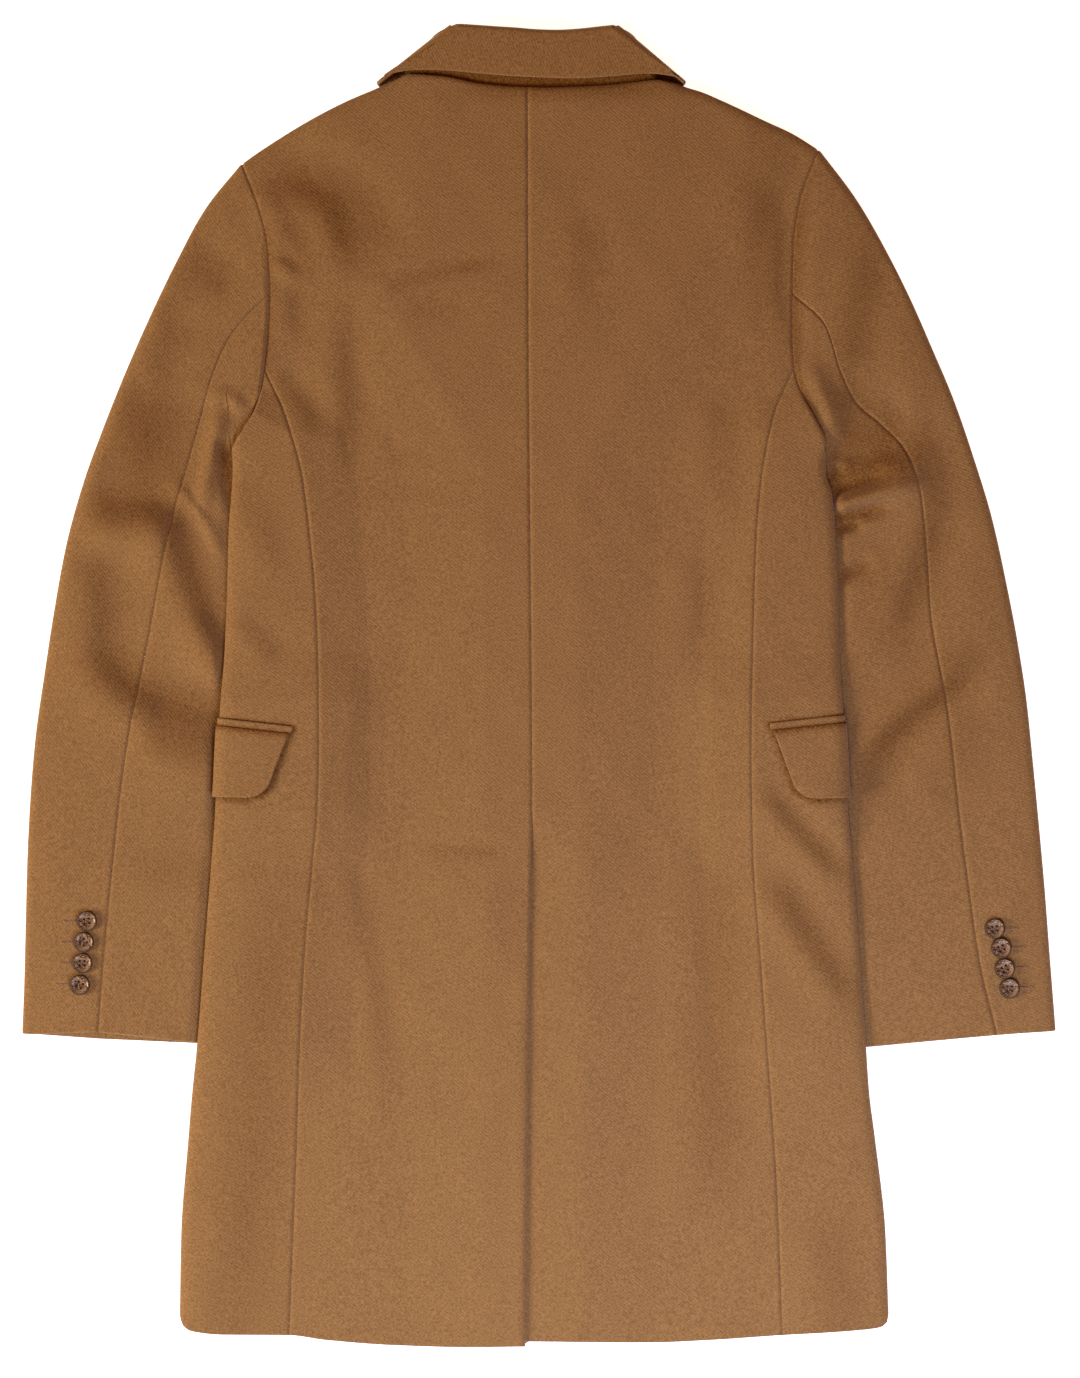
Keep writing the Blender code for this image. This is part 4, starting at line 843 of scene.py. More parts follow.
def make_back(side, finish):
    shares = spread(BACK_WIDTH, SHOWN_PITCH, True, True) / BACK_WIDTH
    edges = {"first_row": SEWN, "last_column": SEWN, "first_column": SEWN, "last_row": FREE}
    if side == LEFT:
        outer, inner = upper_panel(side, TOP, centre_seam, shares, SHOWN_PITCH)
        return cloth("back_left_panel", outer, inner, edges, finish)
    # The underlap is cut in one with the right back and lies under the left one.
    laps = -spread(LAP_WIDTH, 2 * SHOWN_PITCH, False, True)[:0:-1] / BACK_WIDTH
    outer, inner = upper_panel(side, TOP, centre_seam, np.r_[laps, shares], SHOWN_PITCH,
                               vent_drop)
    rows = panel_rows(side, SHOWN_PITCH)[1]
    above_vent = np.searchsorted(rows, VENT_LEVEL)
    for grid, gap in ((outer, SEAM_GAP), (inner, -SEAM_LAP)):
        above = grid[:above_vent, len(laps):]
        above[:] = pulled_in(above, ["first_column"], gap)
    present = np.ones((outer.shape[0] - 1, outer.shape[1] - 1), bool)
    present[:above_vent, :len(laps)] = False
    seam = slice(None, above_vent), slice(len(laps), None)
    outer[seam], inner[seam] = dressed_edges(outer[seam], inner[seam], {"first_column": SEWN})
    edges["first_column"] = FREE
    return cloth("back_right_panel", outer, inner, edges, finish, present)


def overlap_raise(x, down):
    """How far the right front rises to lie over the left one, as a fall (below 0)."""
    return (-OVERLAP_LIFT * ramp(down, *OVERLAP_LEVELS)
            * (1 - ramp(x - MIDDLE, *OVERLAP_REACH)))


def make_front(side, finish):
    def edge(down):
        return front_edge(side, down)

    shares = spread(FRONT_WIDTH, HIDDEN_PITCH, True, True) / FRONT_WIDTH
    lower = overlap_raise if side == RIGHT else None
    outer, inner = upper_panel(side, UNDER, edge, shares, HIDDEN_PITCH, lower)
    edges = {"first_row": SEWN, "last_column": SEWN, "first_column": FREE, "last_row": FREE}
    return cloth(f"front_{SIDES[side]}_panel", outer, inner, edges, finish)


SIDE_WIDTH = 60.0       # to space the columns by


def make_side(side, finish):
    """Rows from the underarm to the hem, columns from the side-back seam over the side's
    turn and back along the underside to the front seam, which lies under the other."""
    flat = spread(SIDE_WIDTH, SHOWN_PITCH, True, False)[:-1] / SIDE_WIDTH
    hidden = spread(SIDE_WIDTH, HIDDEN_PITCH, True, False)[:-1] / SIDE_WIDTH
    share = np.r_[flat, np.ones(len(ROUND_ANGLES)), hidden[::-1]]
    angles = np.r_[np.full(len(flat), 90), ROUND_ANGLES, np.full(len(hidden), -90)].astype(float)
    station = (SIDE_SEAM + (INNER_TURN - SIDE_SEAM) * share
               + (90 - np.abs(angles)) / STATION_TURN)
    tops_x, tops = armhole_at(side, armhole_distance(side, station))
    first = armhole_at(side, armhole_lengths(side)[SIDE_SEAM])[1]
    rows = first + spread(HEM_LEVEL - first, SHOWN_PITCH, True, True)
    straight = ramp(rows, rows[0], STRAIGHT_LEVEL)[:, None]
    down = rows[:, None] + (tops - rows[0])[None, :] * (1 - straight)
    turn = ROLL_WIDTH * (1 - np.cos(np.radians(angles)))

    def across(level):
        return np.where(np.abs(angles) < 90, side_edge(side, level) - side * turn,
                        blend(side_seam(side, level), side_edge(side, level) - side * ROLL_WIDTH,
                              share))

    first_level = FIRST_LEVEL + (tops - rows[0]) * (1 - ramp(FIRST_LEVEL, rows[0], STRAIGHT_LEVEL))
    x = np.where(rows[:, None] < FIRST_LEVEL,
                 blend(tops_x[None, :], across(first_level)[None, :],
                       ramp(rows, rows[0], FIRST_LEVEL)[:, None]), across(down))
    down = bend_to_hem(side, x, down)
    outer = place(x, down, turned(side, x, down, angles))
    inner = wall(outer, side, 0, angles, WALL)
    edges = {"first_row": SEWN, "first_column": SEWN, "last_column": SEWN, "last_row": FREE}
    return cloth(f"side_{SIDES[side]}_panel", outer, inner, edges, finish)


LapelRow = namedtuple("LapelRow", "along left_reach right_reach")
LAPEL = (      # share of its length, and how far each lapel reaches out from the fold
    LapelRow(0, 93, 93), LapelRow(0.25, 78, 82), LapelRow(0.5, 53, 62), LapelRow(0.75, 27, 38),
    LapelRow(0.96, 4, 14),
)
LAPEL_ROWS, LAPEL_WIDTH = 60, 93.0
LAPEL_LEAN = 18         # degrees that the fold leans off the middle
LAPEL_TOP, LAPEL_END = 34.0, 294.0
GORGE_FALL, LAPEL_BELLY, LAPEL_ROLL = 34.0, 6.0, 1.0
SHOWN_LENGTHS = {LEFT: 1.0, RIGHT: 0.8}   # the rest lies between the two fronts


def make_lapel(side, finish):
    """The turned front, flat under the front from the gorge down to the break."""
    knots = np.array(column(LAPEL, "along"))
    lengths = np.linspace(knots[0], knots[-1], LAPEL_ROWS)
    reach = np.array(column(LAPEL, SIDES[side] + "_reach")) * np.cos(np.radians(LAPEL_LEAN))
    reach = smooth(knots, reach, lengths)[:, None]
    lengths = lengths * SHOWN_LENGTHS[side]
    widths = spread(LAPEL_WIDTH, HIDDEN_PITCH / 2, True, True)[None, :] / LAPEL_WIDTH
    fold_down = blend(LAPEL_TOP, LAPEL_END, lengths)[:, None]
    roll = front_edge(side, fold_down) - MIDDLE
    x = MIDDLE + roll + side * (LAPEL_ROLL + reach * widths)
    down = (fold_down + GORGE_FALL * widths * (1 - lengths[:, None])
            + LAPEL_BELLY * np.sin(np.pi * widths))
    edges = {"first_column": FREE, "last_column": FREE}
    return cloth(f"lapel_{SIDES[side]}_turned", place(x, down, 0.0), place(x, down, WALL), edges,
                 finish)


# ---------------------------------------------------------------- the sleeves


def sleeve_line(side, name, row):
    table = SLEEVE[side]
    rows = np.arange(len(table))
    return np.array([smooth(rows, column(table, name + "_x"), row),
                     smooth(rows, column(table, name + "_down"), row)])


def fold_facing(side, name, row, way):
    """Which way a sleeve's fold faces: square to it, outward (way 1) or to the body (-1)."""
    at = np.clip(row, 0.5, LAST_ROW - 0.5)
    run, drop = sleeve_line(side, name, at + 0.5) - sleeve_line(side, name, at - 0.5)
    facing = np.array([side * way * drop, -side * way * run]) / np.hypot(run, drop)
    if name == "outer":
        facing = blend(np.array(shoulder_normal(side)), facing, ramp(row, 0, 1))
    return facing / np.hypot(*facing)


CLEAR_BELOW, CLEAR_BESIDE = 2.0, 1.5      # of the armhole's end and of the body's side
CROSSING_STEPS = 100


def edge_crossing(side, start, end, share):
    """Share of the way from the hindarm seam to the inner fold at which the sleeve goes
    under the body's side, and this share at most."""
    steps = np.linspace(0, 1, CROSSING_STEPS + 1)
    x = blend(start[0], end[0], steps)
    down = blend(start[1], end[1], steps)
    below_armhole = down > getattr(ARMHOLE[UNDERARM], SIDES[side] + "_down") + CLEAR_BELOW
    inside = (from_side_edge(side, x, down) > -CLEAR_BESIDE) & below_armhole
    crossing = steps[np.argmax(inside)] if inside.any() else 1.0
    return min(crossing, share)


def sleeve_plan(side, layer, row, stations):
    """(x, down) of one section across the sleeve, from its outer to its inner fold, and the
    ways in which the two folds face."""
    outer, hind, inner = (sleeve_line(side, name, row) for name in ("outer", "hind", "inner"))
    if layer == UNDER:
        hind[1] += CUFF_DIP[side] * ramp(row, DIP_ROW, LAST_ROW)
    outward, inward = fold_facing(side, "outer", row, 1), fold_facing(side, "inner", row, -1)
    length = np.hypot(*(inner - inward * TUCKED_ROLL_WIDTH - hind))
    inner_start = inner - inward * TUCKED_ROLL_WIDTH
    least = np.interp(row, TUCK_ROWS, TUCKED_WIDTHS)
    tuck = blend(hind, inner_start, edge_crossing(side, hind, inner_start, 1 - least / length))
    outer_end = outer - outward * ROLL_WIDTH
    knots = [OUTER_TURN, HINDARM, TUCK, INNER_TURN]
    marks = np.array([outer_end, hind, tuck, inner_start])
    plan = np.stack([np.interp(stations, knots, marks[:, i]) for i in (0, 1)], axis=-1)
    near_outer, near_inner = (
        (1 - np.cos(np.radians(STATION_TURN * from_fold)))[:, None] * width
        for from_fold, width in ((stations, ROLL_WIDTH), (UNDERARM - stations, TUCKED_ROLL_WIDTH)))
    plan = np.where((stations < OUTER_TURN)[:, None], outer - outward * near_outer, plan)
    plan = np.where((stations > INNER_TURN)[:, None], inner - inward * near_inner, plan)
    return plan, outward, inward


def sleeve_height(side, x, down):
    """Height of a sleeve's top face, pressed down where it goes under the body's side."""
    inset = from_side_edge(side, x, down)
    seam_x, seam_down = (column(ARMHOLE[SIDE_SEAM:], SIDES[side] + way)
                         for way in ("_x", "_down"))
    seam_level = np.interp(side * x, side * np.array(seam_x), seam_down)
    press = eased(inset, *PRESS_INSET) * ramp(down, seam_level, seam_level + PRESS_FADE)
    return (blend(FLAT_HEIGHT, TUCKED_HEIGHT, press)
            + fold_height(SLEEVE_FOLDS, x, down) * (1 - press))


def sleeve_face(side, layer, rows, stations):
    """Outer and inner grids of one face of a sleeve."""
    armhole_plan = np.stack(armhole_at(side, armhole_distance(side, stations)), axis=-1)
    base, _, _ = sleeve_plan(side, TOP, 0.0, stations)
    angle = np.interp(stations, [0, OUTER_TURN, INNER_TURN, UNDERARM], [0, 90, 90, 0])
    at_outer = (stations < (OUTER_TURN + INNER_TURN) / 2)[:, None]
    reach = np.interp(stations, [HINDARM, FOREARM], [ARMHOLE_REACH, INNER_REACH])[:, None]
    plans, outs = [], []
    for row in rows:
        plan, outward, inward = sleeve_plan(side, layer, row, stations)
        share = 1 - ramp(row, 0, reach)
        plans.append(plan + (armhole_plan - base) * share * share * (3 - 2 * share))
        outs.append(np.where(at_outer, outward, inward))
    (x, down), out = np.moveaxis(np.array(plans), -1, 0), np.array(outs)
    x = x - side * (UNDERARM_TUCK[side] * np.interp(stations, TUCK_STATIONS, [0, 1])[None, :]
                    * (1 - ramp(rows, *TUCK_ROWS))[:, None])
    over = sleeve_height(side, x, down)
    at_seam = (np.interp(stations, [0, SIDE_SEAM, FOREARM, TUCK], [1, 1, 0.5, 0])[None, :]
               * (1 - ramp(rows, 0, SEAM_ROWS))[:, None])
    over = blend(over, body_height(side, TOP, x, down), at_seam)
    for end in (0, -1):
        if stations[end] < 1:     # this end is the outer fold
            inset = np.hypot(x - x[:, [end]], down - down[:, [end]])
            over = over - SLEEVE_EDGE_FALL[side] * beside_edge(inset) * ramp(rows, 0, 1)[:, None]
    head = eased(rows, 0, HEAD_ROWS[0]) * (1 - eased(rows, *HEAD_ROWS[1:]))
    head_across = np.interp(stations, [OUTER_TURN, HINDARM - 1, FOREARM, INNER_TURN], [0, 1, 1, 0])
    over = over + HEAD_RISE[side] * head[:, None] * head_across
    over = np.where(stations < OUTER_TURN,
                    blend(over, FLAT_HEIGHT, 1 - stations / OUTER_TURN), over)
    under = body_height(side, UNDER, x, down) * at_seam * (stations < SIDE_SEAM)
    half = (over - under) / 2
    up = under + half + layer * half * np.sin(np.radians(angle))
    outer = place(x, down, up)
    return outer, wall(outer, out[..., 0], out[..., 1], layer * angle, WALL)


SLEEVE_LENGTH = 700.0   # to space the rows by
# To space the stations by: from the outer turn to the hindarm seam and on to the tuck, and on
# the underside from the outer turn to the forearm seam and on to the inner turn
TO_HINDARM, TO_TUCK, TO_FOREARM, TO_INNER = 62.0, 90.0, 120.0, 35.0
TURN_STATIONS = np.arange(0, OUTER_TURN, 1 / 3)
TUCK_STEPS = 4


def sleeve_stations(start, end, length, pitch, sewn_at):
    """Stations from one to another across a flat stretch of sleeve."""
    steps = spread(length, pitch, sewn_at == start, sewn_at == end) / length
    return blend(start, end, steps)


def make_sleeve(side, finish):
    rows = spread(SLEEVE_LENGTH, SHOWN_PITCH, True, True) / SLEEVE_LENGTH * LAST_ROW
    inner_turn = UNDERARM - TURN_STATIONS[::-1]
    to_hind = np.r_[TURN_STATIONS,
                    sleeve_stations(OUTER_TURN, HINDARM, TO_HINDARM, SHOWN_PITCH, HINDARM)]
    past_hind = np.r_[sleeve_stations(HINDARM, TUCK, TO_TUCK, SHOWN_PITCH, HINDARM)[:-1],
                      np.linspace(TUCK, INNER_TURN, TUCK_STEPS + 1)[:-1], inner_turn]
    low_outer = np.r_[TURN_STATIONS,
                      sleeve_stations(OUTER_TURN, FOREARM, TO_FOREARM, HIDDEN_PITCH, FOREARM)]
    low_inner = np.r_[sleeve_stations(FOREARM, INNER_TURN, TO_INNER, HIDDEN_PITCH, FOREARM)[:-1],
                      inner_turn]
    edges = {"first_row": SEWN, "first_column": SEWN, "last_column": SEWN, "last_row": FREE}
    for name, top, low in (("topsleeve", to_hind[::-1], low_outer[1:]),
                           ("undersleeve", past_hind, low_inner[-2::-1])):
        faces = zip(sleeve_face(side, TOP, rows, top), sleeve_face(side, UNDER, rows, low))
        outer, inner = (np.concatenate(pair, axis=1) for pair in faces)
        cloth(f"{name}_{SIDES[side]}_panel", outer, inner, edges, finish)


# ---------------------------------------------------------------- the collar

CollarRow = namedtuple("CollarRow", "roll_x roll_down edge_x edge_down neck_x")
COLLAR = (
    CollarRow(-62.0, -49.0, -118.0, -9.5, -96.0),
    CollarRow(-48.0, -48.2, -98.0, -13.3, -78.0),
    CollarRow(-34.0, -47.2, -72.0, -13.0, -56.0),
    CollarRow(-18.0, -46.2, -41.0, -10.2, -30.0),
    CollarRow(-4.0, -45.0, -8.0, -8.0, -7.0),
    CollarRow(14.0, -44.5, 28.0, -7.0, 20.0),
    CollarRow(30.0, -45.4, 58.0, -8.8, 44.0),
    CollarRow(43.0, -46.8, 84.0, -10.6, 68.0),
    CollarRow(54.0, -48.0, 104.0, -8.2, 88.0),
)
ENDS = {
    LEFT: {"roll": (-77.0, -45.8), "edge": (-126.5, -4.0), "neck": (-104.0, -11.0)},
    RIGHT: {"roll": (67.7, -45.6), "edge": (113.0, -4.5), "neck": (90.5, -7.6)},
}
LEAF = {"roll": (60.5, 24.0), "edge": (138.0, 40.0), "neck": (68.0, 24.0)}   # out, down
STAND_UP, FALL_UP, FALL_EDGE_UP = 11.0, 16.8, 14.6     # heights of the cloth's middle
FRONT_STAND_UP, LEAF_UP = 4.9, 1.4
FALL_TURN, STAND_TURN = 6.0, 3.0
STAND_INSET = 4.5
Corner = namedtuple("Corner", "x down")     # how far an end's corner is rounded off
ROLL_CORNER, EDGE_CORNER = Corner(11.0, 2.4), Corner(6.0, 3.0)
ROLL_BESIDE = 0.7       # share of the roll's corner that is taken off beside the end
END_STEP, END_LEAN = 30, 55     # degrees from column to column, and that the end leans in all
COLLAR_HALF = 1.4
COLLAR_MIDDLE = COLLAR_HALF + 2.9      # from the roll's outside to its cloth's turning point
NECK_LAP, NECK_UP = 0.25, 7.25         # where the stand is sewn to the back's top edge
COLLAR_STEP = 0.2       # between the lines of the finished grid, in rows of the one above
NEAR_EDGE = np.array([0, 0.05, 0.1, 0.18, 0.3])


def collar_column(neck, roll, edge, heights, turn_way):
    """Ten points of one section through the collar, from the neck seam up the stand, over the
    fold and down the fall. heights are the neck seam's, the stand's, the fall's and the fall
    edge's."""
    neck_up, stand_up, fall_up, edge_up = heights
    half = (fall_up - stand_up) / 2
    stand_roll = np.array([*roll["stand"], stand_up])
    fall_roll = np.array([*roll["fall"], fall_up])
    neck = np.array([*neck, neck_up])
    edge = np.array([*edge, edge_up])
    middle, arm = (stand_roll + fall_roll) / 2, (fall_roll - stand_roll) / 2
    apex = np.array([*turn_way, 0]) * max(np.linalg.norm(arm), abs(half))
    fold = [middle - arm * np.cos(a) + apex * np.sin(a) for a in np.radians([45, 90, 135])]
    fall = [blend(fall_roll, edge, share) for share in (1 / 3, 2 / 3, 1)]
    return [neck, blend(neck, stand_roll, 0.5), stand_roll, *fold, fall_roll, *fall]


def collar_end(side):
    """Columns round one end of the collar: over its turn, then along the front."""
    end, columns = ENDS[side], []
    edge, roll, neck = (np.array(end[name]) for name in ("edge", "roll", "neck"))
    along = (edge - roll) / np.hypot(*(edge - roll))
    out = np.array([side * abs(along[1]), -abs(along[0])])
    for angle in range(0, 181, END_STEP):
        swing, rise = np.sin(np.radians(angle)), np.cos(np.radians(angle))
        lean = np.radians(angle / 180 * END_LEAN)
        way = np.array([-side * np.sin(lean), -np.cos(lean)])
        inward = np.array([-side * ROLL_CORNER.x, -ROLL_CORNER.down])
        beside = along * ROLL_CORNER.x * ROLL_BESIDE - out * COLLAR_HALF
        early = max(1 - angle / 90, 0)
        fall_shift = (inward * early**2 + beside * (1 - early) ** 2 if angle < 90
                      else blend(inward, beside, swing))
        stand_shift = blend(inward, -out * (COLLAR_HALF + STAND_INSET), swing)
        edge_inward = np.array([-side * EDGE_CORNER.x, -EDGE_CORNER.down])
        if rise < 0:
            edge_inward = -out * (COLLAR_HALF + FALL_TURN)
        edge_shift = blend(edge_inward, -out * COLLAR_HALF, swing)
        back = way * COLLAR_MIDDLE
        heights = [blend(low, high, (rise + 1) / 2) for low, high in
                   ((FRONT_STAND_UP, NECK_UP), (FRONT_STAND_UP, STAND_UP), (LEAF_UP, FALL_UP),
                    (LEAF_UP, FALL_EDGE_UP))]
        neck_at = neck + np.array([side * STAND_TURN * (swing - 1), 0])
        columns.append(collar_column(neck_at, {"stand": roll + stand_shift - back,
                                               "fall": roll + fall_shift - back},
                                     edge + edge_shift, heights, way))
    last = columns[-1]
    leaf = {name: np.array([MIDDLE + side * reach, down]) for name, (reach, down) in LEAF.items()}
    way = np.array([-side, 0.0])
    roll_end = leaf["roll"] - way
    tip = collar_column(leaf["neck"], {"stand": roll_end, "fall": roll_end}, leaf["edge"],
                        (FRONT_STAND_UP, FRONT_STAND_UP, LEAF_UP, LEAF_UP), way)
    for share in (1 / 3, 2 / 3, 1):
        columns.append([blend(a, b, share) for a, b in zip(last, tip)])
    return columns


def refined(grid, at):
    """The grid's first axis read along a smooth curve through its lines."""
    last = len(grid) - 1
    low = np.clip(at.astype(int), 0, last - 1)
    t = (at - low)[:, None, None]
    before, after = grid[np.maximum(low - 1, 0)], grid[np.minimum(low + 2, last)]
    start, end = grid[low], grid[low + 1]
    return 0.5 * (2 * start + (end - before) * t
                  + (2 * before - 5 * start + 4 * end - after) * t**2
                  + (3 * start - before - 3 * end + after) * t**3)


def make_collar(finish):
    middle = []
    for row in COLLAR:
        roll = np.array([row.roll_x, row.roll_down + COLLAR_MIDDLE])
        neck = (row.neck_x, float(top_line(row.neck_x)) + NECK_LAP)
        middle.append(collar_column(neck, {"stand": roll, "fall": roll},
                                    (row.edge_x, row.edge_down),
                                    (NECK_UP, STAND_UP, FALL_UP, FALL_EDGE_UP), (0, -1)))
    grid = np.array(collar_end(LEFT)[::-1] + middle + collar_end(RIGHT))
    for _ in range(2):      # along the collar, then across it
        last = len(grid) - 1
        lines = np.r_[NEAR_EDGE, np.arange(0.5, last - 0.4, COLLAR_STEP), last - NEAR_EDGE[::-1]]
        grid = np.swapaxes(refined(grid, lines), 0, 1)
    points = place(grid[..., 0], grid[..., 1], grid[..., 2])
    normal = np.cross(np.gradient(points, axis=0), np.gradient(points, axis=1))
    normal /= np.linalg.norm(normal, axis=-1, keepdims=True)
    half = normal * COLLAR_WALL / 2 * MM
    edges = {"first_row": FREE, "last_row": FREE, "first_column": FREE, "last_column": FREE}
    outer, inner = dressed_edges(points + half, points - half, edges)
    both = np.concatenate([outer.reshape(-1, 3), inner.reshape(-1, 3)])
    return new_piece("turned_collar", both, grid_faces(outer), finish)


# ---------------------------------------------------------------- pockets

FLAP_WIDTH = 50.0       # to space the columns by
JET_ROWS = 9
SLANT_EASE = 0.8        # share of its slant that a flap loses down to its edge
STAND_OFF_END = 2 / 3   # cosine of half the turn at which a flap lies close to the side again


def side_skin(side, inset, down, angle, off):
    """Points that lie "off" above the side's outer face: inset from the side's edge, on the
    top where the angle is above 0 and on the underside where it is below."""
    x = side_edge(side, down) - side * inset
    points = place(x, down, turned(side, x, down, angle))
    return points + place_vector(side * np.cos(np.radians(angle)), 0,
                                 np.sin(np.radians(angle))) * np.asarray(off)[..., None]


def round_the_side(side, rear, down, slant, thickness, stand_off=0.0):
    """Grids of a strip that wraps the side, from its rear end on the top to its front end.
    rear, down and slant give each row's rear inset, its level at the side's edge and its fall
    towards the back."""
    flat = 1 - spread(FLAP_WIDTH, SHOWN_PITCH / 2, True, False)[:-1] / FLAP_WIDTH
    angles = np.r_[np.full(len(flat), 90), ROUND_ANGLES, np.full(len(flat), -90)]
    angles = angles[None, :].astype(float)
    share = np.r_[flat, np.zeros(len(ROUND_ANGLES)), flat[::-1]][None, :]
    turn = ROLL_WIDTH * (1 - np.cos(np.radians(angles)))
    full = np.where(angles > 0, rear[:, None], POCKET_REACH)
    inset = np.where(np.abs(angles) < 90, turn, blend(ROLL_WIDTH, full, share))
    levels = down[:, None] + np.where(angles > 0, inset, -inset) * slant[:, None]
    stand_off = stand_off * ramp(np.cos(np.radians((90 - angles) / 2)), STAND_OFF_END, 1)
    return [side_skin(side, inset, levels, angles, off + stand_off)
            for off in (LAYER_GAP + thickness, LAYER_GAP)]


def make_pocket(side, finish):
    top = JET_TOP[side]
    free = dict.fromkeys(EDGE_LINES, FREE)
    outer, inner = round_the_side(side, np.full(JET_ROWS, JET_REAR),
                                  top + np.linspace(0, JET_DEPTH, JET_ROWS),
                                  np.full(JET_ROWS, POCKET_SLANT), JET_WALL)
    cloth(f"pocket_jet_{SIDES[side]}_piping", outer, inner, free, finish)
    share = spread(FLAP_DEPTH[side], SHOWN_PITCH, True, True) / FLAP_DEPTH[side]
    flap_top = top + JET_DEPTH + SEAM_GAP
    outer, inner = round_the_side(side, flap_rear(side, share),
                                  flap_top + FLAP_DEPTH[side] * share,
                                  POCKET_SLANT * (1 - SLANT_EASE * share), WALL,
                                  FLAP_STAND_OFF * share[:, None] ** 2)
    cloth(f"pocket_flap_{SIDES[side]}_leaf", outer, inner, free, finish)


# ---------------------------------------------------------------- buttons and buttonholes

CUFF_BUTTON_WIDTH, FRONT_BUTTON_WIDTH, BUTTON_THICKNESS = 15.7, 25.0, 3.2
ButtonPlace = namedtuple("ButtonPlace", "x down")
CUFF_BUTTONS = {
    LEFT: (ButtonPlace(-348.8, 641.4), ButtonPlace(-351.1, 657.6),
           ButtonPlace(-352.3, 673.8), ButtonPlace(-354.2, 690.5)),
    RIGHT: (ButtonPlace(350.0, 647.2), ButtonPlace(355.0, 662.2),
            ButtonPlace(357.7, 678.0), ButtonPlace(361.4, 693.3)),
}
FRONT_BUTTON_LEVELS = (305.0, 420.0, 535.0)
BUTTON_LEAN, LEAN_SPREAD, LEAN_STEP = 0.35, 0.5, 2.7      # how the buttons are turned, in radians
BUTTON_TURNS, HOLE_TURNS = 64, 20
HOLE_REACH, HOLE_RADIUS = 0.158, 0.062     # from the button's middle, and of a hole, per width
SHARP_ANGLE = 35        # degrees from which an edge of a button stays sharp
# Section of a button from its back to the middle of its dished face: share of its radius,
# and share of its thickness
ButtonRing = namedtuple("ButtonRing", "out up")
BUTTON_RINGS = (
    ButtonRing(0.90, 0.0), ButtonRing(0.97, 0.10), ButtonRing(1.0, 0.30), ButtonRing(1.0, 0.62),
    ButtonRing(0.985, 0.80), ButtonRing(0.95, 0.94), ButtonRing(0.90, 1.0), ButtonRing(0.84, 0.98),
    ButtonRing(0.78, 0.90), ButtonRing(0.72, 0.80), ButtonRing(0.64, 0.74), ButtonRing(0.5, 0.70),
    ButtonRing(0.3, 0.68),
)


def revolved(name, rings, turns):
    """A turned mesh round the Z axis, closed at both ends."""
    angles = np.linspace(0, 2 * np.pi, turns, endpoint=False)
    points = np.concatenate([np.stack([r * np.cos(angles), r * np.sin(angles),
                                       np.full(turns, z)], axis=-1) for r, z in rings])
    faces = [tuple(range(turns))[::-1]]
    for ring in range(len(rings) - 1):
        for i in range(turns):
            a, b = ring * turns + i, ring * turns + (i + 1) % turns
            faces.append((a, b, b + turns, a + turns))
    last = (len(rings) - 1) * turns
    faces.append(tuple(range(last, last + turns)))
    mesh = bpy.data.meshes.new(name)
    mesh.from_pydata(points.tolist(), [], faces)
    made = bpy.data.objects.new(name, mesh)
    bpy.context.collection.objects.link(made)
    return made


def hole_places(width):
    return [(HOLE_REACH * width * np.cos(a), HOLE_REACH * width * np.sin(a))
            for a in np.radians([45, 135, 225, 315])]


def button_mesh(width):
    """A four-hole button: turned, dished and bored four times, its back at height 0."""
    radius, thickness = width / 2 * MM, BUTTON_THICKNESS * MM
    disc = revolved("button_disc", [(ring.out * radius, ring.up * thickness)
                                    for ring in BUTTON_RINGS], BUTTON_TURNS)
    for number, (x, y) in enumerate(hole_places(width)):
        hole = HOLE_RADIUS * width * MM
        bore = revolved(f"button_bore_{number}", [(hole, -thickness), (hole, 2 * thickness)],
                        HOLE_TURNS)
        bore.location = (x * MM, y * MM, 0)
        cut = disc.modifiers.new("bore", "BOOLEAN")
        cut.operation, cut.object = "DIFFERENCE", bore
    bpy.context.view_layer.update()
    graph = bpy.context.evaluated_depsgraph_get()
    mesh = bpy.data.meshes.new_from_object(disc.evaluated_get(graph))
    for made in [disc] + [modifier.object for modifier in disc.modifiers]:
        bpy.data.objects.remove(made)
    mesh.shade_smooth()
    mesh.set_sharp_from_angle(angle=np.radians(SHARP_ANGLE))
    return mesh


THREAD_RADIUS, THREAD_RISE, THREAD_DIVE = 0.34, 0.4, 0.9      # DIVE: into its holes
THREAD_STEPS, THREAD_TURNS = 8, 8
THREAD_SEAT = 0.62      # share of the button's thickness at which a thread leaves its hole


def thread_tube(start, end):
    """Points and faces of one strand that comes out of a hole and goes down the next."""
    share = np.linspace(0, 1, THREAD_STEPS + 1)
    rise = THREAD_RISE * np.sin(np.pi * share) - THREAD_DIVE * (2 * share - 1) ** 6
    run = np.array(end) - np.array(start)
    middle = np.stack([start[0] + run[0] * share, start[1] + run[1] * share, rise], axis=-1)
    along = np.gradient(middle, axis=0)
    along /= np.linalg.norm(along, axis=1, keepdims=True)
    aside = np.array([-run[1], run[0], 0]) / np.hypot(*run)
    above = np.cross(along, aside)
    angles = np.linspace(0, 2 * np.pi, THREAD_TURNS, endpoint=False)[None, :, None]
    round_it = aside * np.cos(angles) + above[:, None] * np.sin(angles)
    points = middle[:, None] + THREAD_RADIUS * round_it
    index = np.arange(points.shape[0] * THREAD_TURNS).reshape(-1, THREAD_TURNS)
    turned_index = np.roll(index, -1, axis=1)
    sides = np.stack([index[:-1], turned_index[:-1], turned_index[1:], index[1:]], axis=-1)
    half = THREAD_TURNS // 2
    caps = [[ring[i], ring[i + 1], ring[-i - 2], ring[-i - 1]]
            for ring in (index[0], index[-1][::-1]) for i in range(half - 1)]
    return points.reshape(-1, 3), np.concatenate([sides.reshape(-1, 4), np.array(caps)[:, ::-1]])


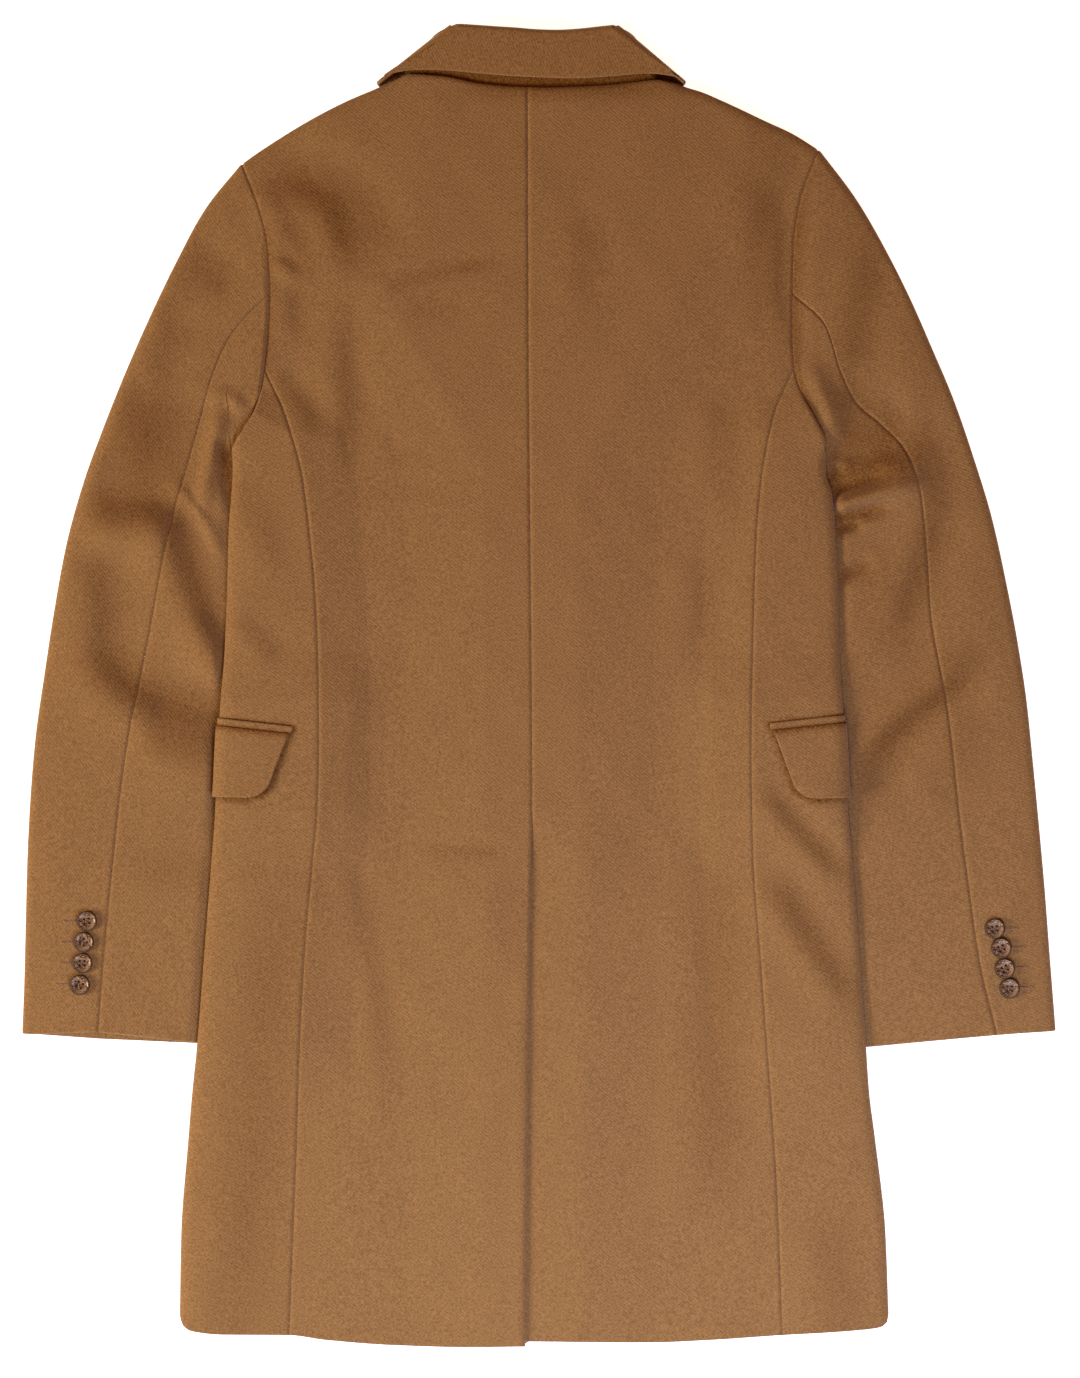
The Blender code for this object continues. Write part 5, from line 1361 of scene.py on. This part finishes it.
def joined(parts):
    """Points and faces of several closed meshes as one."""
    points, faces, count = [], [], 0
    for part_points, part_faces in parts:
        points.append(part_points)
        faces.append(part_faces + count)
        count += len(part_points)
    return np.concatenate(points), np.concatenate(faces)


def button_threads(width, lean):
    """The two strands across one button's holes, with the button's middle at 0."""
    holes = hole_places(width)
    points, faces = joined([thread_tube(holes[1], holes[0]), thread_tube(holes[2], holes[3])])
    points[:, 2] += THREAD_SEAT * BUTTON_THICKNESS
    turn = np.array([[np.cos(lean), np.sin(lean), 0], [-np.sin(lean), np.cos(lean), 0], [0, 0, 1]])
    return points @ turn, faces


def make_buttons(horn, thread):
    cuff, front = button_mesh(CUFF_BUTTON_WIDTH), button_mesh(FRONT_BUTTON_WIDTH)
    for side, places in CUFF_BUTTONS.items():
        strands = []
        for number, spot in enumerate(places, 1):
            lean = BUTTON_LEAN * side + LEAN_SPREAD * np.sin(LEAN_STEP * number + side)
            seat = float(sleeve_height(side, np.array(spot.x), np.array(spot.down))) + LAYER_GAP
            middle = place(spot.x, spot.down, seat)
            new_button(f"cuff_button_{SIDES[side]}_{number}", cuff, horn, middle, lean)
            points, faces = button_threads(CUFF_BUTTON_WIDTH, -lean)
            strands.append((points * MM + middle, faces))
        made = new_piece(f"cuff_button_threads_{SIDES[side]}", *joined(strands), thread)
    strands = []
    for number, level in enumerate(FRONT_BUTTON_LEVELS, 1):
        middle = place(MIDDLE, level, BUTTON_THICKNESS)
        new_button(f"front_button_{number}", front, horn, middle, 0.0, np.pi)
        points, faces = button_threads(FRONT_BUTTON_WIDTH, 0.0)
        strands.append((points * (MM, -MM, -MM) + middle, faces))
    new_piece("front_button_threads", *joined(strands), thread)


def new_button(solid, mesh, horn, middle, lean, over=0.0):
    """A button that stands for a solid, turned about its own axis and then over."""
    mesh = mesh.copy()
    mesh.materials.append(horn)
    made = bpy.data.objects.new(solid + "_turned", mesh)
    bpy.context.collection.objects.link(made)
    made.location, made.rotation_euler = middle, (over, 0, lean)
    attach(made, "root")
    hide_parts(solid)


HOLE_LENGTH, HOLE_WIDTH, HOLE_START = 12.5, 1.9, 0.36     # START: per width of its button
HOLE_STEPS, HOLE_STRIPS = 84, 15
STITCH_PITCH, STITCH_RELIEF, STITCH_SHIFT = 0.62, 0.22, 3.1
BEAD_HEIGHT, HOLE_LIFT, HOLE_SINK = 0.62, 0.02, 0.25
END_TAPER, END_SHARPNESS = 0.15, 14


def buttonhole(x, down, up, way):
    """One mock buttonhole: close stitches on both sides of a slit, as a low closed ridge.
    way is the direction of its run, as x and down."""
    along = np.linspace(0, HOLE_LENGTH, HOLE_STEPS)[:, None]
    across = np.linspace(-1, 1, HOLE_STRIPS)[None, :]
    ends = np.sqrt(np.clip(1 - np.abs(2 * along / HOLE_LENGTH - 1) ** END_SHARPNESS, 0, 1))
    bead = BEAD_HEIGHT * np.sqrt(np.clip(1 - (2 * np.abs(across) - 1) ** 2, 0, 1))
    phase = 2 * np.pi * along / STITCH_PITCH + STITCH_SHIFT * np.sign(across)
    rise = bead * (1 + STITCH_RELIEF * np.cos(phase)) * ends + HOLE_LIFT
    aside = across * HOLE_WIDTH / 2 * (1 - END_TAPER + END_TAPER * ends)
    way = np.array(way) / np.hypot(*way)
    grid_x = x + along * way[0] - aside * way[1]
    grid_down = down + along * way[1] + aside * way[0]
    base = up(grid_x, grid_down)
    outer, inner = (place(grid_x, grid_down, height) for height in (base + rise, base - HOLE_SINK))
    return np.concatenate([outer.reshape(-1, 3), inner.reshape(-1, 3)]), grid_faces(outer)


def make_buttonholes(thread):
    start = CUFF_BUTTON_WIDTH * HOLE_START
    for side, places in CUFF_BUTTONS.items():
        holes = []
        for spot in places:
            row = np.interp(spot.down, column(SLEEVE[side], "hind_down"), np.arange(LAST_ROW + 1))
            outer, hind = (sleeve_line(side, name, row) for name in ("outer", "hind"))
            way = (outer - hind) / np.hypot(*(outer - hind))
            holes.append(buttonhole(spot.x + way[0] * start, spot.down + way[1] * start,
                                    lambda x, down: sleeve_height(side, x, down), way))
        new_piece(f"mock_buttonholes_{SIDES[side]}", *joined(holes), thread)


# ---------------------------------------------------------------- finishes

# The nap's patterns: repeats per metre, how fine and how rough they are, the stretch of their
# values that shows, and how far they lighten or darken the cloth
Pattern = namedtuple("Pattern", "scale detail roughness low high shade")
SLOW = Pattern(14.0, 3.0, 0.5, 0.35, 0.65, 0.012)
MOTTLE = Pattern(210.0, 3.0, 0.6, 0.3, 0.7, 0.03)
FIBRE = Pattern(640.0, 2.0, 0.6, 0.3, 0.7, 0.26)
SPECKS = Pattern(620.0, 1.0, 0.5, 0.66, 0.74, 0.16)
WOBBLE_SCALE, TWILL_WOBBLE, TWILL_SHADE = 260.0, 1.3, 0.035
# How much more the nap's shade and the painted shade count in red, in green and in blue
CHANNELS = ((1.0, 1.0), (1.08, 1.4), (1.25, 2.1))
TWILL_RELIEF, MOTTLE_RELIEF, FIBRE_RELIEF = 0.16, 0.6, 0.55
NAP_BUMP, NAP_HEIGHT = 0.55, 0.0006

CAMEL = (0.262, 0.122, 0.034)
TWILL_LEANS = {"back": 0.9, "side": 1.0, "front": 0.9, "sleeve_left": 0.65,
               "sleeve_right": 1.2, "collar": 0.4}
BUTTON_THREAD, BUTTONHOLE_TWIST, THREAD_PITCH = (0.05, 0.022, 0.01), (0.29, 0.128, 0.036), 0.0007

# The last colour is painted shade on a button's turned rim
HORN_DARK, HORN_STREAK, HORN_FLECK, HORN_RIM_SHADE = (
    (0.035, 0.012, 0.005, 1), (0.25, 0.12, 0.05, 1), (0.62, 0.4, 0.21, 1), (0.03, 0.011, 0.005, 1))
STREAK_SCALES, FLECK_SCALE = (160.0, 520.0, 300.0), 900.0
STREAK_SHOWN, FLECK_SHOWN = (0.42, 0.62), (0.52, 0.68)     # the stretches of them that show
FLECK_SHARE, RIM_SHADE_SHARE = 0.75, 0.9
POLISH_STRETCH, POLISH, RIM_ROUGHNESS = (0.2, 0.8), (0.2, 0.36), 0.6
RIM_START, RIM_END = 0.0062, 0.0072     # metres from a button's middle


def node_group(name, inputs, outputs):
    group = bpy.data.node_groups.new(name, "ShaderNodeTree")
    for label, kind, value in inputs:
        socket = group.interface.new_socket(label, in_out="INPUT", socket_type=kind)
        socket.default_value = value
    for label, kind in outputs:
        group.interface.new_socket(label, in_out="OUTPUT", socket_type=kind)
    return group, group.nodes.new("NodeGroupInput"), group.nodes.new("NodeGroupOutput")


def node(tree, kind, links=None, **settings):
    """A node with its settings, then its inputs: a value, or another node's output."""
    made = tree.nodes.new(kind)
    for name, value in settings.items():
        setattr(made, name, value)
    for name, value in (links or {}).items():
        if isinstance(value, bpy.types.NodeSocket):
            tree.links.new(value, made.inputs[name])
        else:
            made.inputs[name].default_value = value
    return made


def maths(tree, operation, first, second=0.0):
    return node(tree, "ShaderNodeMath", {0: first, 1: second}, operation=operation).outputs[0]


def mixed(tree, factor, first, second, blend_type="MIX"):
    return node(tree, "ShaderNodeMix", {0: factor, 6: first, 7: second}, data_type="RGBA",
                blend_type=blend_type).outputs[2]


def noise(tree, vector, scale, detail=2.0, roughness=0.5):
    return node(tree, "ShaderNodeTexNoise", {"Vector": vector, "Scale": scale, "Detail": detail,
                                             "Roughness": roughness}).outputs["Fac"]


def scaled(tree, value, low, high, to_low, to_high):
    return node(tree, "ShaderNodeMapRange", {0: value, 1: low, 2: high, 3: to_low, 4: to_high},
                clamp=True).outputs[0]


def wool_nap():
    """Napped twill: its colour over the cloth, darkened where its piece carries painted shade, and
    its height for a bump.
    """
    group, given, result = node_group(
        "wool_nap",
        [("Colour", "NodeSocketColor", (0.27, 0.13, 0.05, 1)),
         ("Twill Lean", "NodeSocketFloat", 0.9), ("Twill Pitch", "NodeSocketFloat", 0.002)],
        [("Color", "NodeSocketColor"), ("Height", "NodeSocketFloat")])
    colour, lean, pitch = (given.outputs[label]
                           for label in ("Colour", "Twill Lean", "Twill Pitch"))

    def plus(first, second):
        return maths(group, "ADD", first, second)

    def times(first, second):
        return maths(group, "MULTIPLY", first, second)

    def shaded(value, pattern):
        return scaled(group, value, pattern.low, pattern.high, -pattern.shade, pattern.shade)

    where = node(group, "ShaderNodeTexCoord").outputs["Object"]
    split = node(group, "ShaderNodeSeparateXYZ", {0: where})
    slow, mottle, fibre, specks = (
        noise(group, where, pattern.scale, pattern.detail, pattern.roughness)
        for pattern in (SLOW, MOTTLE, FIBRE, SPECKS))
    wobble = noise(group, where, WOBBLE_SCALE)
    across = times(split.outputs[0], maths(group, "COSINE", lean))
    along = times(split.outputs[1], maths(group, "SINE", lean))
    phase = plus(maths(group, "DIVIDE", plus(across, along), pitch), times(wobble, TWILL_WOBBLE))
    twill = maths(group, "SINE", times(phase, 2 * np.pi))
    specks = scaled(group, specks, SPECKS.low, SPECKS.high, 0.0, 1.0)
    shade = plus(shaded(mottle, MOTTLE), shaded(fibre, FIBRE))
    shade = plus(shade, times(twill, TWILL_SHADE))
    shade = plus(shade, shaded(slow, SLOW))
    shade = maths(group, "SUBTRACT", shade, times(specks, SPECKS.shade))
    # The piece's painted shade, taken off its colour more deeply in green and blue
    painted_dark = node(group, "ShaderNodeAttribute", attribute_name="painted_shade").outputs["Fac"]
    tint = [maths(group, "SUBTRACT", plus(times(shade, vivid), 1.0), times(painted_dark, deeper))
            for vivid, deeper in CHANNELS]
    tint = node(group, "ShaderNodeCombineColor", dict(enumerate(tint))).outputs[0]
    group.links.new(mixed(group, 1.0, colour, tint, "MULTIPLY"), result.inputs["Color"])
    relief = plus(times(twill, TWILL_RELIEF),
                  plus(times(mottle, MOTTLE_RELIEF), times(fibre, FIBRE_RELIEF)))
    group.links.new(relief, result.inputs["Height"])
    return group


def material(name, roughness, **sockets):
    """A material with its shader's own sockets set; an underscore stands for a space."""
    made = bpy.data.materials.new(name)
    made.use_nodes = True
    shader = made.node_tree.nodes["Principled BSDF"]
    shader.inputs["Roughness"].default_value = roughness
    for label, value in sockets.items():
        shader.inputs[label.replace("_", " ")].default_value = value
    return made, made.node_tree, shader


def coating_finish(name, nap, lean):
    """Napped camel coating, its twill leaning as the piece was cut."""
    made, tree, shader = material(name, 0.95, Sheen_Weight=0.25, Sheen_Roughness=0.45,
                                  Sheen_Tint=(1.0, 0.86, 0.7, 1), Specular_IOR_Level=0.12)
    surface = node(tree, "ShaderNodeGroup", node_tree=nap)
    surface.inputs["Colour"].default_value = (*CAMEL, 1)
    surface.inputs["Twill Lean"].default_value = lean
    relief = node(tree, "ShaderNodeBump", {"Height": surface.outputs["Height"],
                                           "Strength": NAP_BUMP, "Distance": NAP_HEIGHT})
    tree.links.new(surface.outputs["Color"], shader.inputs["Base Color"])
    tree.links.new(relief.outputs["Normal"], shader.inputs["Normal"])
    return made


def horn_finish():
    """Polished mottled horn: pale grey-brown streaks in a dark brown, with painted shade on the
    rim.
    """
    made, tree, shader = material("brown_horn", 0.26, Specular_Tint=(1.0, 0.66, 0.36, 1))
    where = node(tree, "ShaderNodeTexCoord").outputs["Object"]
    streak = node(tree, "ShaderNodeMapping", {"Vector": where, "Scale": STREAK_SCALES})
    cloud = noise(tree, streak.outputs[0], 1.0, 4.0, 0.6)
    flecks = noise(tree, where, FLECK_SCALE, 3.0, 0.6)
    flat = node(tree, "ShaderNodeVectorMath", {0: where, 1: (1.0, 1.0, 0.0)}, operation="MULTIPLY")
    out = node(tree, "ShaderNodeVectorMath", {0: flat.outputs[0]}, operation="LENGTH")
    rim = scaled(tree, out.outputs["Value"], RIM_START, RIM_END, 0.0, 1.0)
    body = mixed(tree, scaled(tree, cloud, *STREAK_SHOWN, 0.0, 1.0), HORN_DARK, HORN_STREAK)
    body = mixed(tree, scaled(tree, flecks, *FLECK_SHOWN, 0.0, FLECK_SHARE), body, HORN_FLECK)
    body = mixed(tree, maths(tree, "MULTIPLY", rim, RIM_SHADE_SHARE), body, HORN_RIM_SHADE)
    tree.links.new(body, shader.inputs["Base Color"])
    polish = scaled(tree, flecks, *POLISH_STRETCH, *POLISH)
    tree.links.new(maths(tree, "MAXIMUM", polish, maths(tree, "MULTIPLY", rim, RIM_ROUGHNESS)),
                   shader.inputs["Roughness"])
    return made


def thread_finish(name, nap, colour):
    made, tree, shader = material(name, 0.7, Sheen_Weight=0.15)
    surface = node(tree, "ShaderNodeGroup", node_tree=nap)
    surface.inputs["Colour"].default_value = (*colour, 1)
    surface.inputs["Twill Pitch"].default_value = THREAD_PITCH
    tree.links.new(surface.outputs["Color"], shader.inputs["Base Color"])
    return made


# ---------------------------------------------------------------- the studio

VIEW_HEIGHT, CLOTH_HEIGHT = 6.0, 0.008      # of the camera over the cloth, straight above it
LENS, SENSOR = 203.6, 36
VIEW_X, VIEW_Y = 0.0008, -0.00255
AMBIENT, AMBIENT_STRENGTH = (1.0, 0.48, 0.03, 1), 0.31
TABLE_SHADE, TABLE_GLOW, TABLE_DOWN = 0.93, 0.9, -0.0002
Patch = namedtuple("Patch", "left right near far")
# The table glows softly, but not its middle, which the coat covers: under it, it stays dark
TABLE, COVERED = Patch(-12.0, 12.0, -12.0, 12.0), Patch(-0.21, 0.20, -0.44, 0.28)
Lamp = namedtuple("Lamp", "name spot aim size power colour")
LAMPS = (
    Lamp("key_softbox", (-3.0, -0.6, 1.35), (0.0, 0.0, 0.0), 1.2, 120, (0.92, 0.95, 0.97)),
    Lamp("hem_softbox", (0.3, -0.95, 1.1), (0.1, -0.4, 0.0), 0.8, 29, (0.415, 0.555, 1.0)),
)


def make_camera():
    lens = bpy.data.cameras.new("overhead_camera")
    lens.lens, lens.sensor_width, lens.sensor_height = LENS, SENSOR, SENSOR
    lens.clip_end = 50
    camera = bpy.data.objects.new("overhead_camera", lens)
    camera.location = (VIEW_X, VIEW_Y, VIEW_HEIGHT + CLOTH_HEIGHT)
    bpy.context.collection.objects.link(camera)
    bpy.context.scene.camera = camera


def make_table():
    mesh = bpy.data.meshes.new("white_table")
    corners = [(x, y, TABLE_DOWN) for patch in (TABLE, COVERED)
               for x, y in ((patch.left, patch.near), (patch.right, patch.near),
                            (patch.right, patch.far), (patch.left, patch.far))]
    rim = [(i, (i + 1) % 4, 4 + (i + 1) % 4, 4 + i) for i in range(4)]
    mesh.from_pydata(corners, [], rim + [(4, 5, 6, 7)])
    for name, glow in (("white_table", TABLE_GLOW), ("table_under_the_coat", 0.0)):
        finish, _, _ = material(name, 0.8, Base_Color=(TABLE_SHADE, TABLE_SHADE, TABLE_SHADE, 1),
                                Specular_IOR_Level=0.1, Emission_Color=(1, 1, 1, 1),
                                Emission_Strength=glow)
        mesh.materials.append(finish)
    mesh.polygons[4].material_index = 1
    table = bpy.data.objects.new("white_table", mesh)
    bpy.context.collection.objects.link(table)


def make_lights():
    world = bpy.data.worlds.new("studio")
    world.use_nodes = True
    background = world.node_tree.nodes["Background"]
    background.inputs["Color"].default_value = AMBIENT
    background.inputs["Strength"].default_value = AMBIENT_STRENGTH
    bpy.context.scene.world = world
    bpy.context.scene.view_settings.view_transform = "Standard"
    for lamp in LAMPS:
        light = bpy.data.lights.new(lamp.name, "AREA")
        light.shape, light.size = "SQUARE", lamp.size
        light.energy, light.color = lamp.power, lamp.colour
        made = bpy.data.objects.new(lamp.name, light)
        made.location = lamp.spot
        away = np.array(lamp.spot) - np.array(lamp.aim)
        pitch = np.arctan2(np.hypot(away[0], away[1]), away[2])
        made.rotation_euler = (pitch, 0, np.arctan2(away[1], away[0]) + np.pi / 2)
        bpy.context.collection.objects.link(made)


# ---------------------------------------------------------------- the whole coat

# Each sheet as it was cut: its width and length in metres, its area in square metres, how it
# is held, and what it rests on
Cut = namedtuple("Cut", "width length area held rests_on")
CUTS = {
    "back_left_panel": Cut(0.222, 0.975, 0.176, "laid", ("front_left_panel",)),
    "back_right_panel": Cut(0.240, 0.972, 0.178, "laid", ("front_right_panel",)),
    "side_left_panel": Cut(0.176, 0.745, 0.104, "laid", ("undersleeve_left_panel",)),
    "side_right_panel": Cut(0.172, 0.745, 0.104, "laid", ("undersleeve_right_panel",)),
    "front_left_panel": Cut(0.222, 0.975, 0.180, "laid", ()),
    "front_right_panel": Cut(0.222, 0.975, 0.180, "laid", ("front_left_panel",)),
    "lapel_left_turned": Cut(0.093, 0.262, 0.013, "folded", ()),
    "lapel_right_turned": Cut(0.093, 0.212, 0.012, "folded", ()),
    "topsleeve_left_panel": Cut(0.250, 0.700, 0.117, "laid", ()),
    "topsleeve_right_panel": Cut(0.250, 0.700, 0.114, "laid", ()),
    "undersleeve_left_panel": Cut(0.170, 0.600, 0.070, "laid", ()),
    "undersleeve_right_panel": Cut(0.170, 0.600, 0.080, "laid", ()),
    "turned_collar": Cut(0.420, 0.100, 0.0295, "folded", ("back_left_panel", "back_right_panel")),
    "pocket_flap_left_leaf": Cut(0.155, 0.055, 0.0080, "folded", ("side_left_panel",)),
    "pocket_flap_right_leaf": Cut(0.155, 0.055, 0.0080, "folded", ("side_right_panel",)),
    "pocket_jet_left_piping": Cut(0.162, 0.0100, 0.00095, "folded", ("side_left_panel",)),
    "pocket_jet_right_piping": Cut(0.162, 0.0100, 0.00095, "folded", ("side_right_panel",)),
}


def main():
    nap = wool_nap()
    coatings = {part: coating_finish("camel_coating_" + part, nap, lean)
                for part, lean in TWILL_LEANS.items()}
    for side in SIDES:
        make_back(side, coatings["back"])
        make_side(side, coatings["side"])
        make_front(side, coatings["front"])
        make_lapel(side, coatings["front"])
        make_sleeve(side, coatings["sleeve_" + SIDES[side]])
        make_pocket(side, coatings["side"])
    make_collar(coatings["collar"])
    for name, cut in CUTS.items():
        solid = "collar" if name == "turned_collar" else name.rpartition("_")[0]
        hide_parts(solid)
    thread = thread_finish("brown_thread", nap, BUTTON_THREAD)
    twist = thread_finish("buttonhole_twist", nap, BUTTONHOLE_TWIST)
    make_buttons(horn_finish(), thread)
    make_buttonholes(twist)
    make_camera()
    make_table()
    make_lights()


main()
